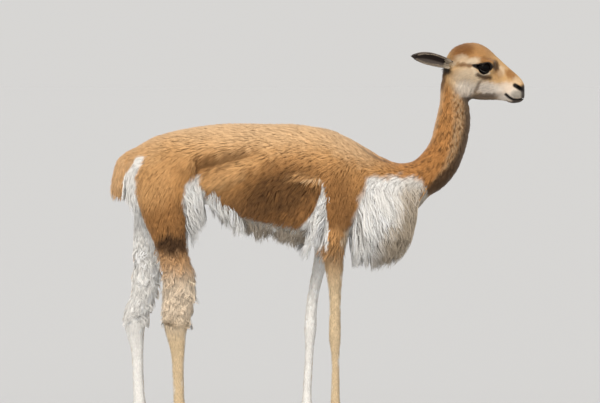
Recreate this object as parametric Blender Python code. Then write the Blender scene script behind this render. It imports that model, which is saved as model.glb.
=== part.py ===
"""A vicuna, life size, standing still with its head up: a solid model in named pieces.

Metres, +Z up. The head points to +X and the animal's right side is at -Y. The origin lies on the
ground under the middle of the bounding box. The outline is that of the coat, not of the skin.
"""

import math
import random

import bmesh
import bpy
from mathutils import Quaternion, Vector
from mathutils.bvhtree import BVHTree

# Driving sizes
GAP = 0.0003  # between pieces that touch
FINE_VOXEL = 0.0036  # grid on which head, trunk and legs are blended
TRUNK_VOXEL = 0.009  # coarser grid, for the soft junctions of the trunk
ANKLE_Z = 0.060  # where a foot meets its leg
KNEE_Z = 0.305  # where forearm and cannon meet
HOCK_Z = 0.288  # where shank and cannon meet
LEG_TOP = 0.515  # where forearm and shank leave the trunk
GIRTH_X = -0.030  # between barrel and chest
CROUP_X = -0.300  # between hindquarters and barrel
TAIL_X = -0.5005  # between tail and hindquarters
REST_TRIANGLES = 2400  # of everything but the head, before it is parted
HEAD_TRIANGLES = 1200
SIDES = ((-1, "right"), (1, "left"))
LOCK_SEED = 7
HOOF_CUT = 0.043  # front of the toe pad, ahead of the fetlock's middle
TOE_SPREAD = 0.0135  # half the distance between the two toes of a foot
EYE_RADIUS = 0.0200
LID_THICKNESS = 0.0024
EYE_PLACE = Vector((0.4385, 0.0375, 0.9795))  # left eye; the right one is its mirror
EYE_WIDTH = 0.0360  # of the opening between the lids
EYE_HEIGHT = 0.0240
EAR_ROOT = Vector((0.3545, 0.033, 0.9915))  # left ear
EAR_ROOT_RADIUS = 0.0145
EAR_LENGTH = 0.110
EAR_WIDTH = 0.035
EAR_WALL = 0.0026
SHAG_DEPTH = 0.007  # how far the hind legs' core lies inside their coat
LOCK_SINK = 0.009  # depth of a lock's root below the surface
LOCK_FLATNESS = 0.26  # thickness of a lock as a share of its width
LOCK_SHAPE = ((0.0, 0.50, 0.70), (0.34, 1.00, 1.00), (0.72, 0.72, 0.76))  # way, width, thickness
LONG_LOCK_WIDTH = (0.030, 0.040)  # least and greatest, of the bib
BELLY_LOCK_WIDTH = (0.036, 0.044)
LEG_LOCK_WIDTH = (0.027, 0.034)
FLANK_LOCK_WIDTH = 0.038
GROIN_LOCK_WIDTH = 0.030
TAIL_LOCK_WIDTH = 0.028
ARMPIT_LOCK_WIDTH = 0.024

# Trunk sections: x, height of the back, height of the belly, half width
TRUNK = (
    (-0.506, 0.728, 0.645, 0.028),
    (-0.492, 0.756, 0.628, 0.060),
    (-0.462, 0.780, 0.618, 0.090),
    (-0.410, 0.804, 0.614, 0.112),
    (-0.330, 0.824, 0.620, 0.122),
    (-0.285, 0.830, 0.618, 0.127),
    (-0.240, 0.8345, 0.598, 0.132),
    (-0.185, 0.8355, 0.568, 0.138),
    (-0.130, 0.8345, 0.548, 0.142),
    (-0.030, 0.831, 0.532, 0.140),
    (0.060, 0.811, 0.530, 0.129),
    (0.130, 0.773, 0.545, 0.110),
    (0.190, 0.738, 0.572, 0.086),
    (0.238, 0.712, 0.604, 0.058),
    (0.266, 0.684, 0.640, 0.022),
)

# Neck sections: the upper point x, z and the lower point x, z of each, and its half width
NECK = (
    (0.060, 0.790, 0.180, 0.560, 0.100),
    (0.135, 0.763, 0.232, 0.580, 0.092),
    (0.180, 0.744, 0.268, 0.607, 0.078),
    (0.221, 0.731, 0.302, 0.642, 0.063),
    (0.258, 0.739, 0.340, 0.672, 0.055),
    (0.287, 0.768, 0.374, 0.719, 0.050),
    (0.303, 0.798, 0.394, 0.764, 0.048),
    (0.311, 0.831, 0.405, 0.815, 0.046),
    (0.320, 0.869, 0.407, 0.863, 0.043),
    (0.328, 0.905, 0.402, 0.906, 0.041),
    (0.333, 0.945, 0.402, 0.935, 0.040),
    (0.345, 0.985, 0.400, 0.960, 0.036),
)

# Head sections: x, top, bottom, half width at the brow, at the eye line and at the jaw,
# and how high the eye line lies, as a share of the section's height
HEAD = (
    (0.339, 0.993, 0.958, 0.009, 0.016, 0.010, 0.55),
    (0.348, 1.017, 0.930, 0.026, 0.036, 0.026, 0.56),
    (0.366, 1.036, 0.912, 0.035, 0.044, 0.034, 0.57),
    (0.387, 1.044, 0.900, 0.040, 0.048, 0.038, 0.57),
    (0.405, 1.047, 0.896, 0.042, 0.052, 0.038, 0.58),
    (0.425, 1.045, 0.895, 0.041, 0.055, 0.035, 0.59),
    (0.443, 1.038, 0.894, 0.037, 0.053, 0.031, 0.60),
    (0.460, 1.025, 0.894, 0.029, 0.044, 0.028, 0.58),
    (0.478, 1.008, 0.894, 0.022, 0.034, 0.026, 0.54),
    (0.497, 0.990, 0.892, 0.018, 0.028, 0.024, 0.50),
    (0.515, 0.974, 0.888, 0.016, 0.0255, 0.024, 0.46),
    (0.530, 0.961, 0.887, 0.015, 0.0250, 0.023, 0.44),
    (0.541, 0.949, 0.891, 0.013, 0.0215, 0.019, 0.44),
    (0.5485, 0.935, 0.900, 0.007, 0.0130, 0.012, 0.46),
)

# Swellings of the head, centre and radii: orbit, throat, cheek, nostril wing, lip and chin
FACE_SWELLINGS = (
    ((0.4385, 0.0360, 0.9800), (0.0340, 0.0200, 0.0265)),
    ((0.3980, 0.0000, 0.9120), (0.0260, 0.0300, 0.0200)),
    ((0.3900, 0.0220, 0.9330), (0.0360, 0.0210, 0.0320)),
    ((0.5330, 0.0140, 0.9330), (0.0135, 0.0110, 0.0115)),
    ((0.5340, 0.0095, 0.9095), (0.0140, 0.0130, 0.0125)),
    ((0.5190, 0.0040, 0.8945), (0.0170, 0.0120, 0.0085)),
)

# Sections of the tail's core: rear point x, z, front point x, z, and half width
TAIL = (
    (-0.470, 0.772, -0.462, 0.728, 0.028),
    (-0.500, 0.759, -0.482, 0.720, 0.032),
    (-0.522, 0.737, -0.494, 0.708, 0.033),
    (-0.534, 0.706, -0.497, 0.690, 0.032),
    (-0.538, 0.675, -0.498, 0.668, 0.030),
    (-0.536, 0.655, -0.500, 0.652, 0.024),
    (-0.528, 0.645, -0.506, 0.644, 0.012),
)

NECK_BASE = (Vector((0.208, 0, 0.732)), Vector((0.70, 0, 0.715)))  # plane between neck and chest
BIB_TURN = 104  # how far round from the front the bib reaches, in degrees
BIB_MIDDLE = 0.175
BIB_REAR = 0.0855
# Tiers of the bib: height of the roots, length, number of locks
BIB_TIERS = ((0.678, 0.092, 9), (0.645, 0.098, 10), (0.610, 0.102, 11), (0.575, 0.106, 9), (0.546, 0.102, 7))
BELLY_COLUMNS = 5
BELLY_ROWS = (-0.062, 0.0, 0.062)
BELLY_START = -0.046
BELLY_STEP = 0.034
BELLY_LOW = (0.488, 0.508)  # how low the hair of the belly hangs
SKIRT_Z = 0.602  # where the hair of the lower flank is rooted
SKIRT_LENGTH = 0.100
SKIRT_COLUMNS = 5
SKIRT_START = -0.055
SKIRT_STEP = 0.036
# Locks on the edge of the flank: x, height of the root, length
FLANK_LOCKS = ((-0.283, 0.676, 0.085), (-0.268, 0.656, 0.100), (-0.249, 0.636, 0.105), (-0.226, 0.612, 0.095))
ARMPIT_X = -0.021
ARMPIT_PLACES = (0.030, 0.060, 0.090)
ARMPIT_LOW = (0.492, 0.506)
ARMPIT_FRONT = -0.0115
# Locks on the front edge of the thigh: x, height of the root
GROIN_LOCKS = (
    (-0.312, 0.690), (-0.330, 0.672), (-0.313, 0.655), (-0.332, 0.634), (-0.315, 0.618), (-0.330, 0.598)
)
GROIN_LENGTH = 0.082
SHANK_TIERS = ((0.500, 0.074), (0.458, 0.074), (0.414, 0.072), (0.372, 0.068))
SHANK_TURNS = (45, 135, 225, 315)
THIGH_TIERS = ((0.602, 0.060), (0.566, 0.046))
THIGH_TURNS = (140, 180, 220)
# Tiers of the tail: x and height of the root, length, backwards lean
TAIL_TIERS = ((-0.506, 0.752, 0.062, -0.42), (-0.512, 0.722, 0.064, -0.25), (-0.512, 0.690, 0.062, -0.12),
              (-0.512, 0.662, 0.056, 0.0))
TAIL_TURNS = (105, 155, 205, 255)

# Leg sections: height, rear edge, front edge, distance from the middle plane, half width.
# Both hind legs have the shaggy coat down to the hock.
RIGHT_HIND = (
    (0.755, -0.445, -0.335, 0.055, 0.044),
    (0.700, -0.462, -0.315, 0.066, 0.056),
    (0.640, -0.467, -0.318, 0.072, 0.057),
    (0.590, -0.457, -0.326, 0.075, 0.051),
    (0.540, -0.436, -0.332, 0.078, 0.043),
    (0.500, -0.420, -0.330, 0.080, 0.038),
    (0.447, -0.406, -0.314, 0.080, 0.035),
    (0.395, -0.405, -0.312, 0.079, 0.034),
    (0.355, -0.407, -0.318, 0.078, 0.032),
    (0.316, -0.402, -0.330, 0.077, 0.027),
    (0.285, -0.396, -0.338, 0.076, 0.022),
    (0.250, -0.385, -0.342, 0.076, 0.0175),
    (0.160, -0.377, -0.345, 0.076, 0.0150),
    (0.100, -0.375, -0.342, 0.076, 0.0160),
    (0.070, -0.375, -0.336, 0.076, 0.0185),
    (0.045, -0.370, -0.330, 0.076, 0.0185),
)
LEFT_HIND = (
    (0.755, -0.445, -0.335, 0.055, 0.044),
    (0.700, -0.466, -0.318, 0.066, 0.056),
    (0.640, -0.478, -0.330, 0.072, 0.057),
    (0.590, -0.483, -0.348, 0.075, 0.051),
    (0.540, -0.486, -0.376, 0.078, 0.043),
    (0.500, -0.488, -0.397, 0.080, 0.038),
    (0.460, -0.486, -0.408, 0.080, 0.035),
    (0.420, -0.488, -0.412, 0.079, 0.034),
    (0.380, -0.493, -0.420, 0.078, 0.033),
    (0.350, -0.503, -0.430, 0.077, 0.030),
    (0.316, -0.511, -0.444, 0.076, 0.026),
    (0.285, -0.505, -0.452, 0.076, 0.022),
    (0.250, -0.494, -0.455, 0.076, 0.0175),
    (0.160, -0.486, -0.455, 0.076, 0.0150),
    (0.100, -0.484, -0.451, 0.076, 0.0160),
    (0.070, -0.484, -0.445, 0.076, 0.0185),
    (0.045, -0.479, -0.439, 0.076, 0.0185),
)
RIGHT_FORE = (
    (0.740, -0.005, 0.090, 0.065, 0.040),
    (0.670, 0.003, 0.114, 0.082, 0.041),
    (0.610, 0.010, 0.104, 0.084, 0.037),
    (0.560, 0.008, 0.090, 0.079, 0.033),
    (0.515, 0.006, 0.080, 0.072, 0.030),
    (0.470, 0.018, 0.075, 0.066, 0.025),
    (0.420, 0.028, 0.070, 0.063, 0.021),
    (0.360, 0.034, 0.066, 0.061, 0.018),
    (0.310, 0.033, 0.066, 0.060, 0.0180),
    (0.270, 0.033, 0.066, 0.060, 0.0185),
    (0.235, 0.038, 0.063, 0.060, 0.0155),
    (0.160, 0.039, 0.0630, 0.060, 0.0135),
    (0.100, 0.037, 0.065, 0.060, 0.0148),
    (0.070, 0.036, 0.071, 0.060, 0.0180),
    (0.045, 0.041, 0.077, 0.060, 0.0180),
)
LEFT_FORE = (
    (0.740, -0.005, 0.090, 0.065, 0.040),
    (0.670, -0.002, 0.112, 0.082, 0.041),
    (0.610, -0.002, 0.092, 0.084, 0.037),
    (0.560, -0.006, 0.074, 0.079, 0.033),
    (0.515, -0.008, 0.056, 0.072, 0.030),
    (0.468, -0.008, 0.036, 0.066, 0.025),
    (0.430, -0.014, 0.022, 0.063, 0.021),
    (0.380, -0.0225, 0.009, 0.061, 0.018),
    (0.325, -0.029, 0.003, 0.060, 0.0180),
    (0.285, -0.031, 0.002, 0.060, 0.0185),
    (0.250, -0.029, -0.003, 0.060, 0.0155),
    (0.160, -0.033, -0.009, 0.060, 0.0135),
    (0.100, -0.037, -0.010, 0.060, 0.0148),
    (0.070, -0.039, -0.004, 0.060, 0.0180),
    (0.045, -0.034, 0.002, 0.060, 0.0180),
)

# Toe sections: distance ahead of the fetlock, top, bottom, half width
TOE = (
    (-0.024, 0.020, 0.008, 0.0060),
    (-0.018, 0.030, -0.002, 0.0105),
    (0.000, 0.037, -0.004, 0.0125),
    (0.020, 0.033, -0.004, 0.0130),
    (0.036, 0.024, -0.004, 0.0115),
    (0.046, 0.017, -0.003, 0.0090),
)
# Nail sections, in the same places
NAIL = (
    (0.0432, 0.0165, 0.0010, 0.0074),
    (0.0500, 0.0145, 0.0010, 0.0068),
    (0.0570, 0.0105, 0.0012, 0.0052),
    (0.0620, 0.0060, 0.0018, 0.0030),
)


def eased(rows, steps):
    """The rows with steps - 1 more between each pair, on a smooth curve through them all."""
    if steps < 2:
        return [tuple(row) for row in rows]
    spans = [max(math.dist(a[:-1], b[:-1]), 1e-6) for a, b in zip(rows, rows[1:])]
    slopes = [[(b - a) / span for a, b in zip(p, q)] for p, q, span in zip(rows, rows[1:], spans)]
    last = len(rows) - 1
    turns = []
    for i in range(last + 1):
        before, after = max(i - 1, 0), min(i, last - 1)
        share = spans[before] / (spans[before] + spans[after])
        turns.append([a + (b - a) * share for a, b in zip(slopes[before], slopes[after])])
    made = []
    for i in range(last):
        for step in range(steps):
            t = step / steps
            near, far = (1 + 2 * t) * (1 - t) ** 2, t * t * (3 - 2 * t)
            leave, reach = t * (1 - t) ** 2 * spans[i], t * t * (t - 1) * spans[i]
            made.append(
                tuple(
                    a * near + b * far + ta * leave + tb * reach
                    for a, b, ta, tb in zip(rows[i], rows[i + 1], turns[i], turns[i + 1])
                )
            )
    return [*made, tuple(rows[-1])]


def section(first, second, y, half_width, fullness=2.2, count=24):
    """A rounded ring round the line from first to second, two points x, z of the plane at y."""
    a, b = Vector((first[0], y, first[1])), Vector((second[0], y, second[1]))
    middle, along = (a + b) / 2, (a - b) / 2
    across = Vector((0, half_width, 0))
    ring = []
    for k in range(count):
        turn = 2 * math.pi * k / count
        c, s = math.cos(turn), math.sin(turn)
        wide = math.copysign(abs(c) ** (2 / fullness), c)
        high = math.copysign(abs(s) ** (2 / fullness), s)
        ring.append(middle + across * wide + along * high)
    return ring


def head_section(x, top, bottom, brow, cheek, jaw, level, count=32):
    """A ring of the head, on a closed curve through its top, brows, cheeks, jaws and bottom."""
    middle = bottom + (top - bottom) * level
    half = [
        (0.0, top),
        (brow, middle + (top - middle) * 0.72),
        (cheek, middle),
        (jaw, middle - (middle - bottom) * 0.66),
        (0.0, bottom),
    ]
    knots = half + [(-y, z) for y, z in half[-2:0:-1]]
    ring = []
    for k in range(count):
        place = k * len(knots) / count
        i, t = int(place), place % 1
        p = [knots[(i + j) % len(knots)] for j in (-1, 0, 1, 2)]
        y, z = (
            0.5 * (2 * b + (c - a) * t + (2 * a - 5 * b + 4 * c - d) * t * t
                   + (3 * b - a - 3 * c + d) * t ** 3)
            for a, b, c, d in zip(*p)
        )
        ring.append(Vector((x, y, z)))
    return ring


def new_object(name, bm):
    bmesh.ops.recalc_face_normals(bm, faces=bm.faces)
    mesh = bpy.data.meshes.new(name)
    bm.to_mesh(mesh)
    bm.free()
    obj = bpy.data.objects.new(name, mesh)
    bpy.context.scene.collection.objects.link(obj)
    return obj


def loft(name, rings, tip=None):
    """One closed body drawn through the rings, which all have the same number of points.

    It ends in a flat cap, or in a point where a tip is given.
    """
    bm = bmesh.new()
    ring = [bm.verts.new(point) for point in rings[0]]
    edges = [bm.edges.new((a, b)) for a, b in zip(ring, ring[1:] + ring[:1])]
    bm.faces.new(ring)
    for points in rings[1:]:
        place = {vert: i for i, vert in enumerate(ring)}
        grown = bmesh.ops.extrude_edge_only(bm, edges=edges)["geom"]
        for vert in [v for v in grown if isinstance(v, bmesh.types.BMVert)]:
            i = next(place[e.other_vert(vert)] for e in vert.link_edges if e.other_vert(vert) in place)
            vert.co = points[i]
            ring[i] = vert
        edges = [bm.edges.get((a, b)) for a, b in zip(ring, ring[1:] + ring[:1])]
    if tip is None:
        bm.faces.new(ring)
    else:
        apex = bm.verts.new(tip)
        for a, b in zip(ring, ring[1:] + ring[:1]):
            bm.faces.new((a, b, apex))
    return new_object(name, bm)


def applied(obj):
    """obj with its modifiers made part of its mesh."""
    graph = bpy.context.evaluated_depsgraph_get()
    mesh = bpy.data.meshes.new_from_object(obj.evaluated_get(graph))
    obj.modifiers.clear()
    old, obj.data = obj.data, mesh
    bpy.data.meshes.remove(old)
    return obj


def removed(objects):
    for obj in objects:
        bpy.data.objects.remove(obj)


def joined(name, objects):
    """The bodies of all the objects in one mesh, which still cross one another."""
    bm = bmesh.new()
    for obj in objects:
        bm.from_mesh(obj.data)
    removed(objects)
    return new_object(name, bm)


def copied(obj, name):
    twin = obj.copy()
    twin.data = obj.data.copy()
    twin.name = name
    bpy.context.scene.collection.objects.link(twin)
    return twin


def blended(obj, voxel, rounds):
    """Crossing bodies melted into one skin on a grid of that size, then smoothed."""
    remesh = obj.modifiers.new("Remesh", "REMESH")
    remesh.mode = "VOXEL"
    remesh.voxel_size = voxel
    smooth = obj.modifiers.new("Smooth", "SMOOTH")
    smooth.factor = 0.5
    smooth.iterations = rounds
    return applied(obj)


def thinned(obj, ratio):
    """The same shape with that share of its triangles."""
    decimate = obj.modifiers.new("Decimate", "DECIMATE")
    decimate.ratio = ratio
    return applied(obj)


def boolean(obj, other, operation, keep_other=False):
    """obj cut by, joined with or kept inside other, which is a mesh object or a collection."""
    modifier = obj.modifiers.new("Boolean", "BOOLEAN")
    modifier.operation = operation
    modifier.solver = "EXACT"
    if isinstance(other, bpy.types.Collection):
        modifier.operand_type = "COLLECTION"
        modifier.collection = other
    else:
        modifier.object = other
    applied(obj)
    if isinstance(other, bpy.types.Collection):
        removed(list(other.objects))
        bpy.data.collections.remove(other)
    elif not keep_other:
        removed([other])
    return obj


def largest_body(obj):
    """Keeps only the largest closed surface, so that no scrap or sealed hollow is left."""
    bm = bmesh.new()
    bm.from_mesh(obj.data)
    left, bodies = set(bm.faces), []
    while left:
        stack, body = [left.pop()], []
        while stack:
            face = stack.pop()
            body.append(face)
            for edge in face.edges:
                for other in edge.link_faces:
                    if other in left:
                        left.remove(other)
                        stack.append(other)
        bodies.append(body)
    bodies.sort(key=lambda body: sum(face.calc_area() for face in body))
    scraps = [face for body in bodies[:-1] for face in body]
    bmesh.ops.delete(bm, geom=scraps, context="FACES")
    bm.to_mesh(obj.data)
    bm.free()
    return obj


def united(obj, others):
    """obj joined with all the others by one union."""
    group = bpy.data.collections.new("united")
    bpy.context.scene.collection.children.link(group)
    for other in others:
        group.objects.link(other)
        bpy.context.scene.collection.objects.unlink(other)
    return boolean(obj, group, "UNION")


def grown(obj, name, amount):
    """A copy of obj with its surface moved outwards by that amount."""
    twin = copied(obj, name)
    normals = [vert.normal.copy() for vert in twin.data.vertices]
    for vert, normal in zip(twin.data.vertices, normals):
        vert.co += normal * amount
    return twin


def sliced(obj, point, normal):
    """Only the side of obj that the normal points to, its cut closed flat and held GAP / 2 back."""
    normal = Vector(normal).normalized()
    bm = bmesh.new()
    bm.from_mesh(obj.data)
    bmesh.ops.bisect_plane(
        bm,
        geom=bm.verts[:] + bm.edges[:] + bm.faces[:],
        plane_co=Vector(point) + normal * (GAP / 2),
        plane_no=normal,
        clear_inner=True,
    )
    rim = [edge for edge in bm.edges if edge.is_boundary]
    bmesh.ops.holes_fill(bm, edges=rim)
    bmesh.ops.triangulate(bm, faces=[f for f in bm.faces if len(f.verts) > 4])
    bm.to_mesh(obj.data)
    bm.free()
    return obj


def parted(obj, name, point, normal):
    """Splits obj by a plane. The side that the normal points to becomes a new object."""
    far = sliced(copied(obj, name), point, normal)
    sliced(obj, point, -Vector(normal))
    return far


def ellipsoid(name, centre, radii, turn=(0, 0, 0), segments=24):
    """A closed ball stretched to the three radii and turned by Euler angles."""
    bm = bmesh.new()
    bmesh.ops.create_uvsphere(bm, u_segments=segments, v_segments=segments // 2, radius=1)
    obj = new_object(name, bm)
    obj.scale = radii
    obj.rotation_euler = turn
    obj.location = centre
    bpy.context.view_layer.update()
    obj.data.transform(obj.matrix_world)
    obj.scale, obj.rotation_euler, obj.location = (1, 1, 1), (0, 0, 0), (0, 0, 0)
    return obj


def leg(name, rows, side, top=1.0, foot=0.0):
    """A leg, or the stretch of it between two heights, on the side +1 (left) or -1 (right)."""
    used = [row for row in rows if foot <= row[0] <= top]
    return loft(
        name,
        [
            section((front, z), (rear, z), side * y, half, 2.3)
            for z, rear, front, y, half in eased(used, 4)
        ],
    )


def without_shag(rows):
    """The rows of a hind leg drawn in where its long hair grows, from thigh to hock."""
    inner = []
    for z, rear, front, y, half in rows:
        depth = SHAG_DEPTH * max(0.0, min(1.0, (z - 0.27) / 0.06, (0.62 - z) / 0.06))
        inner.append((z, rear + depth * 1.4, front - depth, y, half - depth * 0.8))
    return inner


def trunk():
    """Torso, base of the neck and tops of the legs, melted together."""
    pieces = [
        loft("torso", [section((x, top), (x, low), 0, half) for x, top, low, half in eased(TRUNK, 4)]),
        loft("neck_root", [section(row[:2], row[2:4], 0, row[4]) for row in eased(NECK[:6], 4)]),
        leg("hip_right", without_shag(RIGHT_HIND), -1, foot=0.39),
        leg("hip_left", without_shag(LEFT_HIND), 1, foot=0.41),
        leg("shoulder_right", RIGHT_FORE, -1, foot=0.41),
        leg("shoulder_left", LEFT_FORE, 1, foot=0.42),
    ]
    return blended(joined("trunk", pieces), TRUNK_VOXEL, 14)


def body():
    """The whole animal with the core of its tail, but without ears, eyes and feet."""
    pieces = [
        trunk(),
        loft("neck", [section(row[:2], row[2:4], 0, row[4]) for row in eased(NECK, 4)]),
        loft("skull", [head_section(*row) for row in eased(HEAD, 3)]),
        leg("shank_right", without_shag(RIGHT_HIND), -1, top=0.46),
        leg("shank_left", without_shag(LEFT_HIND), 1, top=0.46),
        leg("forearm_right", RIGHT_FORE, -1, top=0.48),
        leg("forearm_left", LEFT_FORE, 1, top=0.48),
        loft("tail_core", [section(row[:2], row[2:4], 0, row[4]) for row in eased(TAIL, 3)]),
    ]
    for side, _ in SIDES:
        for centre, radii in FACE_SWELLINGS:
            pieces.append(ellipsoid("swelling", mirrored(centre, side), radii))
    return blended(joined("body", pieces), FINE_VOXEL, 5)


def mirrored(point, side):
    return Vector((point[0], side * point[1], point[2]))


def thigh_plane(side):
    """The slanted plane between a thigh and the hindquarters, with its way outwards."""
    return Vector((0, side * 0.020, LEG_TOP)), Vector((0, side * 0.245, -0.11)).normalized()


def eye_opening(side):
    """An almond-shaped plug through the lids, looking the way the eye looks."""
    centre = mirrored(EYE_PLACE, side)
    outwards = Vector((0.26, side, 0.05)).normalized()
    forward = Vector((1, -side * 0.26, -0.22)).normalized()
    up = outwards.cross(forward) * -side
    rings = []
    for depth in (0.010, 0.034):
        ring = []
        for k in range(20):
            turn = 2 * math.pi * k / 20
            reach = math.cos(turn)
            lift = math.sin(turn) * (1 - 0.35 * reach * reach)
            ring.append(
                centre + outwards * depth + forward * reach * EYE_WIDTH / 2 + up * lift * EYE_HEIGHT / 2
            )
        rings.append(ring)
    return loft("eye_opening", rings)


def head_details(head):
    """Eye sockets with lids, nostrils and the line of the mouth."""
    for side in (-1, 1):
        centre = mirrored(EYE_PLACE, side)
        lids = ellipsoid("lids", centre, [EYE_RADIUS + LID_THICKNESS] * 3, segments=16)
        boolean(head, lids, "UNION")
        boolean(head, ellipsoid("socket", centre, [EYE_RADIUS + GAP] * 3, segments=16), "DIFFERENCE")
        boolean(head, eye_opening(side), "DIFFERENCE")
        slant = (0, math.radians(34), -side * 0.50)
        nostril = ellipsoid("nostril", (0.5365, side * 0.0195, 0.9285), (0.0135, 0.0062, 0.0042), slant, 12)
        boolean(head, nostril, "DIFFERENCE")
    wide, high = 0.04, 0.0012
    mouth = loft(
        "mouth",
        [
            [Vector((x, y, z + lift)) for y, lift in ((-wide, 0), (wide, 0), (wide, high), (-wide, high))]
            for x, z in ((0.500, 0.9090), (0.508, 0.9030), (0.518, 0.8975), (0.530, 0.8965), (0.560, 0.9000))
        ],
    )
    boolean(head, mouth, "DIFFERENCE")
    return largest_body(head)


def ear(name, side):
    """A leaf-shaped cup, laid back, with its mouth turned outwards."""
    root = mirrored(EAR_ROOT, side)
    axis = Vector((-0.90, side * 0.38, 0.20)).normalized()
    open_way = Vector((-0.38, side * 0.90, -0.12))
    open_way = (open_way - axis * open_way.dot(axis)).normalized()
    across = axis.cross(open_way)
    rings = []
    steps = 9
    for step in range(steps + 1):
        t = step / steps
        half = EAR_WIDTH / 2 * (0.5 + 0.5 * math.sin(math.pi * (0.08 + t * 0.85))) * (1 - t**8 * 0.86)
        depth = half * (0.90 - 0.40 * t)
        wall = min(EAR_WALL, half * 0.45)
        centre = root + axis * (EAR_LENGTH * t) - open_way * (0.010 * math.sin(math.pi * t) - 0.004)
        outer, inner = [], []
        for k in range(8):
            turn = math.radians(-105 + 30 * k)
            outer.append(centre + across * half * math.sin(turn) - open_way * depth * math.cos(turn))
            inner.append(
                centre
                + across * (half - wall) * math.sin(turn)
                - open_way * (depth - wall) * math.cos(turn)
            )
        rings.append(outer + inner[::-1])
    return loft(name, rings)


def foot_pieces(name, rows, side):
    """A two-toed foot with its pads flat on the ground, and its two nails."""
    _, rear, front, y, half = rows[-1]
    middle = (rear + front) / 2
    share = (ANKLE_Z - rows[-1][0]) / (rows[-2][0] - rows[-1][0])
    ankle = [low + (high - low) * share for high, low in zip(rows[-2], rows[-1])]
    pastern = loft(
        f"foot_{name}",
        [
            section((front, z), (rear, z), side * y, half, 2.3, 12)
            for z, rear, front, y, half in (
                (ANKLE_Z - GAP / 2, *ankle[1:]),
                rows[-1],
                (0.026, rear + 0.006, front + 0.008, y, half * 1.10),
                (0.014, rear + 0.012, front + 0.004, y, half * 0.9),
            )
        ],
    )
    toes, nails = [], []
    for way in (-1, 1):
        across = side * y + way * TOE_SPREAD
        place = "inner" if way == -side else "outer"
        toe, nail = (
            loft(
                label,
                [
                    section((middle + ahead, high), (middle + ahead, low), across, wide, 2.6, 10)
                    for ahead, high, low, wide in table
                ],
            )
            for label, table in (("toe", TOE), (f"nail_{name}_{place}", NAIL))
        )
        toes.append(sliced(toe, (middle + HOOF_CUT, 0, 0), (-1, 0, 0)))
        nails.append(nail)
    foot = united(pastern, toes)
    sliced(foot, (0, 0, -GAP / 2), (0, 0, 1))
    return [largest_body(foot), *nails]


def bib_core():
    """The dense hair under the bib, which reaches less than half way to its tips."""
    rows = (
        (0.645, 0.150, 0.286, 0.054),
        (0.605, 0.116, 0.272, 0.062),
        (0.566, 0.108, 0.258, 0.058),
        (0.537, 0.120, 0.240, 0.044),
        (0.522, 0.148, 0.212, 0.022),
    )
    rings = [section((front, z), (rear, z), 0, half, count=20) for z, rear, front, half in rows]
    return loft("bib", rings)


def lock(root, outwards, lie, length, width, draw, across=None, walls=()):
    """A flat tapered lock, sunk in at root, that leaves outwards and bends to lie along lie.

    Each wall is a point and a direction: the whole lock is bent to that side of the point.
    """
    lie = lie.normalized()
    across = (across or lie.cross(outwards)).normalized()
    across = (across - lie * across.dot(lie)).normalized()
    across.rotate(Quaternion(lie, draw.uniform(-0.4, 0.4)))
    face = across.cross(lie)
    thick = width * LOCK_FLATNESS
    start = root - outwards * LOCK_SINK - lie * LOCK_SINK
    knee = root + outwards * thick + lie * length * 0.45
    end = root + lie * length + across * length * draw.uniform(-0.14, 0.14)

    def centre(way, reach, depth):
        point = start * (1 - way) ** 2 + knee * 2 * way * (1 - way) + end * way * way
        for corner, inner in walls:
            spare = (point - corner).dot(inner) - GAP * 2
            spare -= reach * abs(across.dot(inner)) + depth * abs(face.dot(inner))
            point -= inner * min(0.0, spare)
        return point

    rings = []
    for way, wide, deep in LOCK_SHAPE:
        reach, depth = width * wide / 2, thick * deep / 2
        middle = centre(way, reach, depth)
        corners = (across * reach, face * depth, -across * reach, -face * depth)
        rings.append([middle + corner for corner in corners])
    return loft("lock", rings, centre(1.0, 0.0, 0.0))


def surface(obj):
    return BVHTree.FromObject(obj, bpy.context.evaluated_depsgraph_get())


def bib_locks(chest, draw):
    """Tiers of long locks round the front and sides of the chest."""
    tree, made = surface(chest), []
    neck_point, neck_normal = NECK_BASE
    walls = ((Vector((BIB_REAR, 0, 0)), Vector((1, 0, 0))), (neck_point, -neck_normal.normalized()))
    for z, length, count in BIB_TIERS:
        for k in range(count):
            share = (k + 0.5 + draw.uniform(-0.2, 0.2)) / count
            angle = math.radians(BIB_TURN) * (2 * share - 1)
            height = z + draw.uniform(-0.008, 0.008)
            aim = Vector((BIB_MIDDLE, 0, height))
            origin = aim + Vector((math.cos(angle), math.sin(angle), 0)) * 0.3
            root, normal, _, _ = tree.ray_cast(origin, aim - origin)
            lie = Vector((-0.16 + 0.10 * math.cos(angle), 0.05 * math.sin(angle), -1))
            long = length * draw.uniform(0.86, 1.06)
            width = draw.uniform(*LONG_LOCK_WIDTH)
            made.append(lock(root, normal, lie, long, width, draw, walls=walls))
    return made


def hanging(tree, x, y, low, width, draw, walls, swing=0.6):
    """A lock that hangs under the trunk at x, y down to the height low."""
    root, normal, _, _ = tree.ray_cast(Vector((x, y, 0.30)), Vector((0, 0, 1)))
    turn = draw.uniform(-swing, swing)
    across = Vector((math.cos(turn), math.sin(turn), 0))
    lie = Vector((draw.uniform(-0.28, -0.08), y * 0.4, -1))
    return lock(root, normal, lie, root.z - low, width, draw, across, walls)


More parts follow.
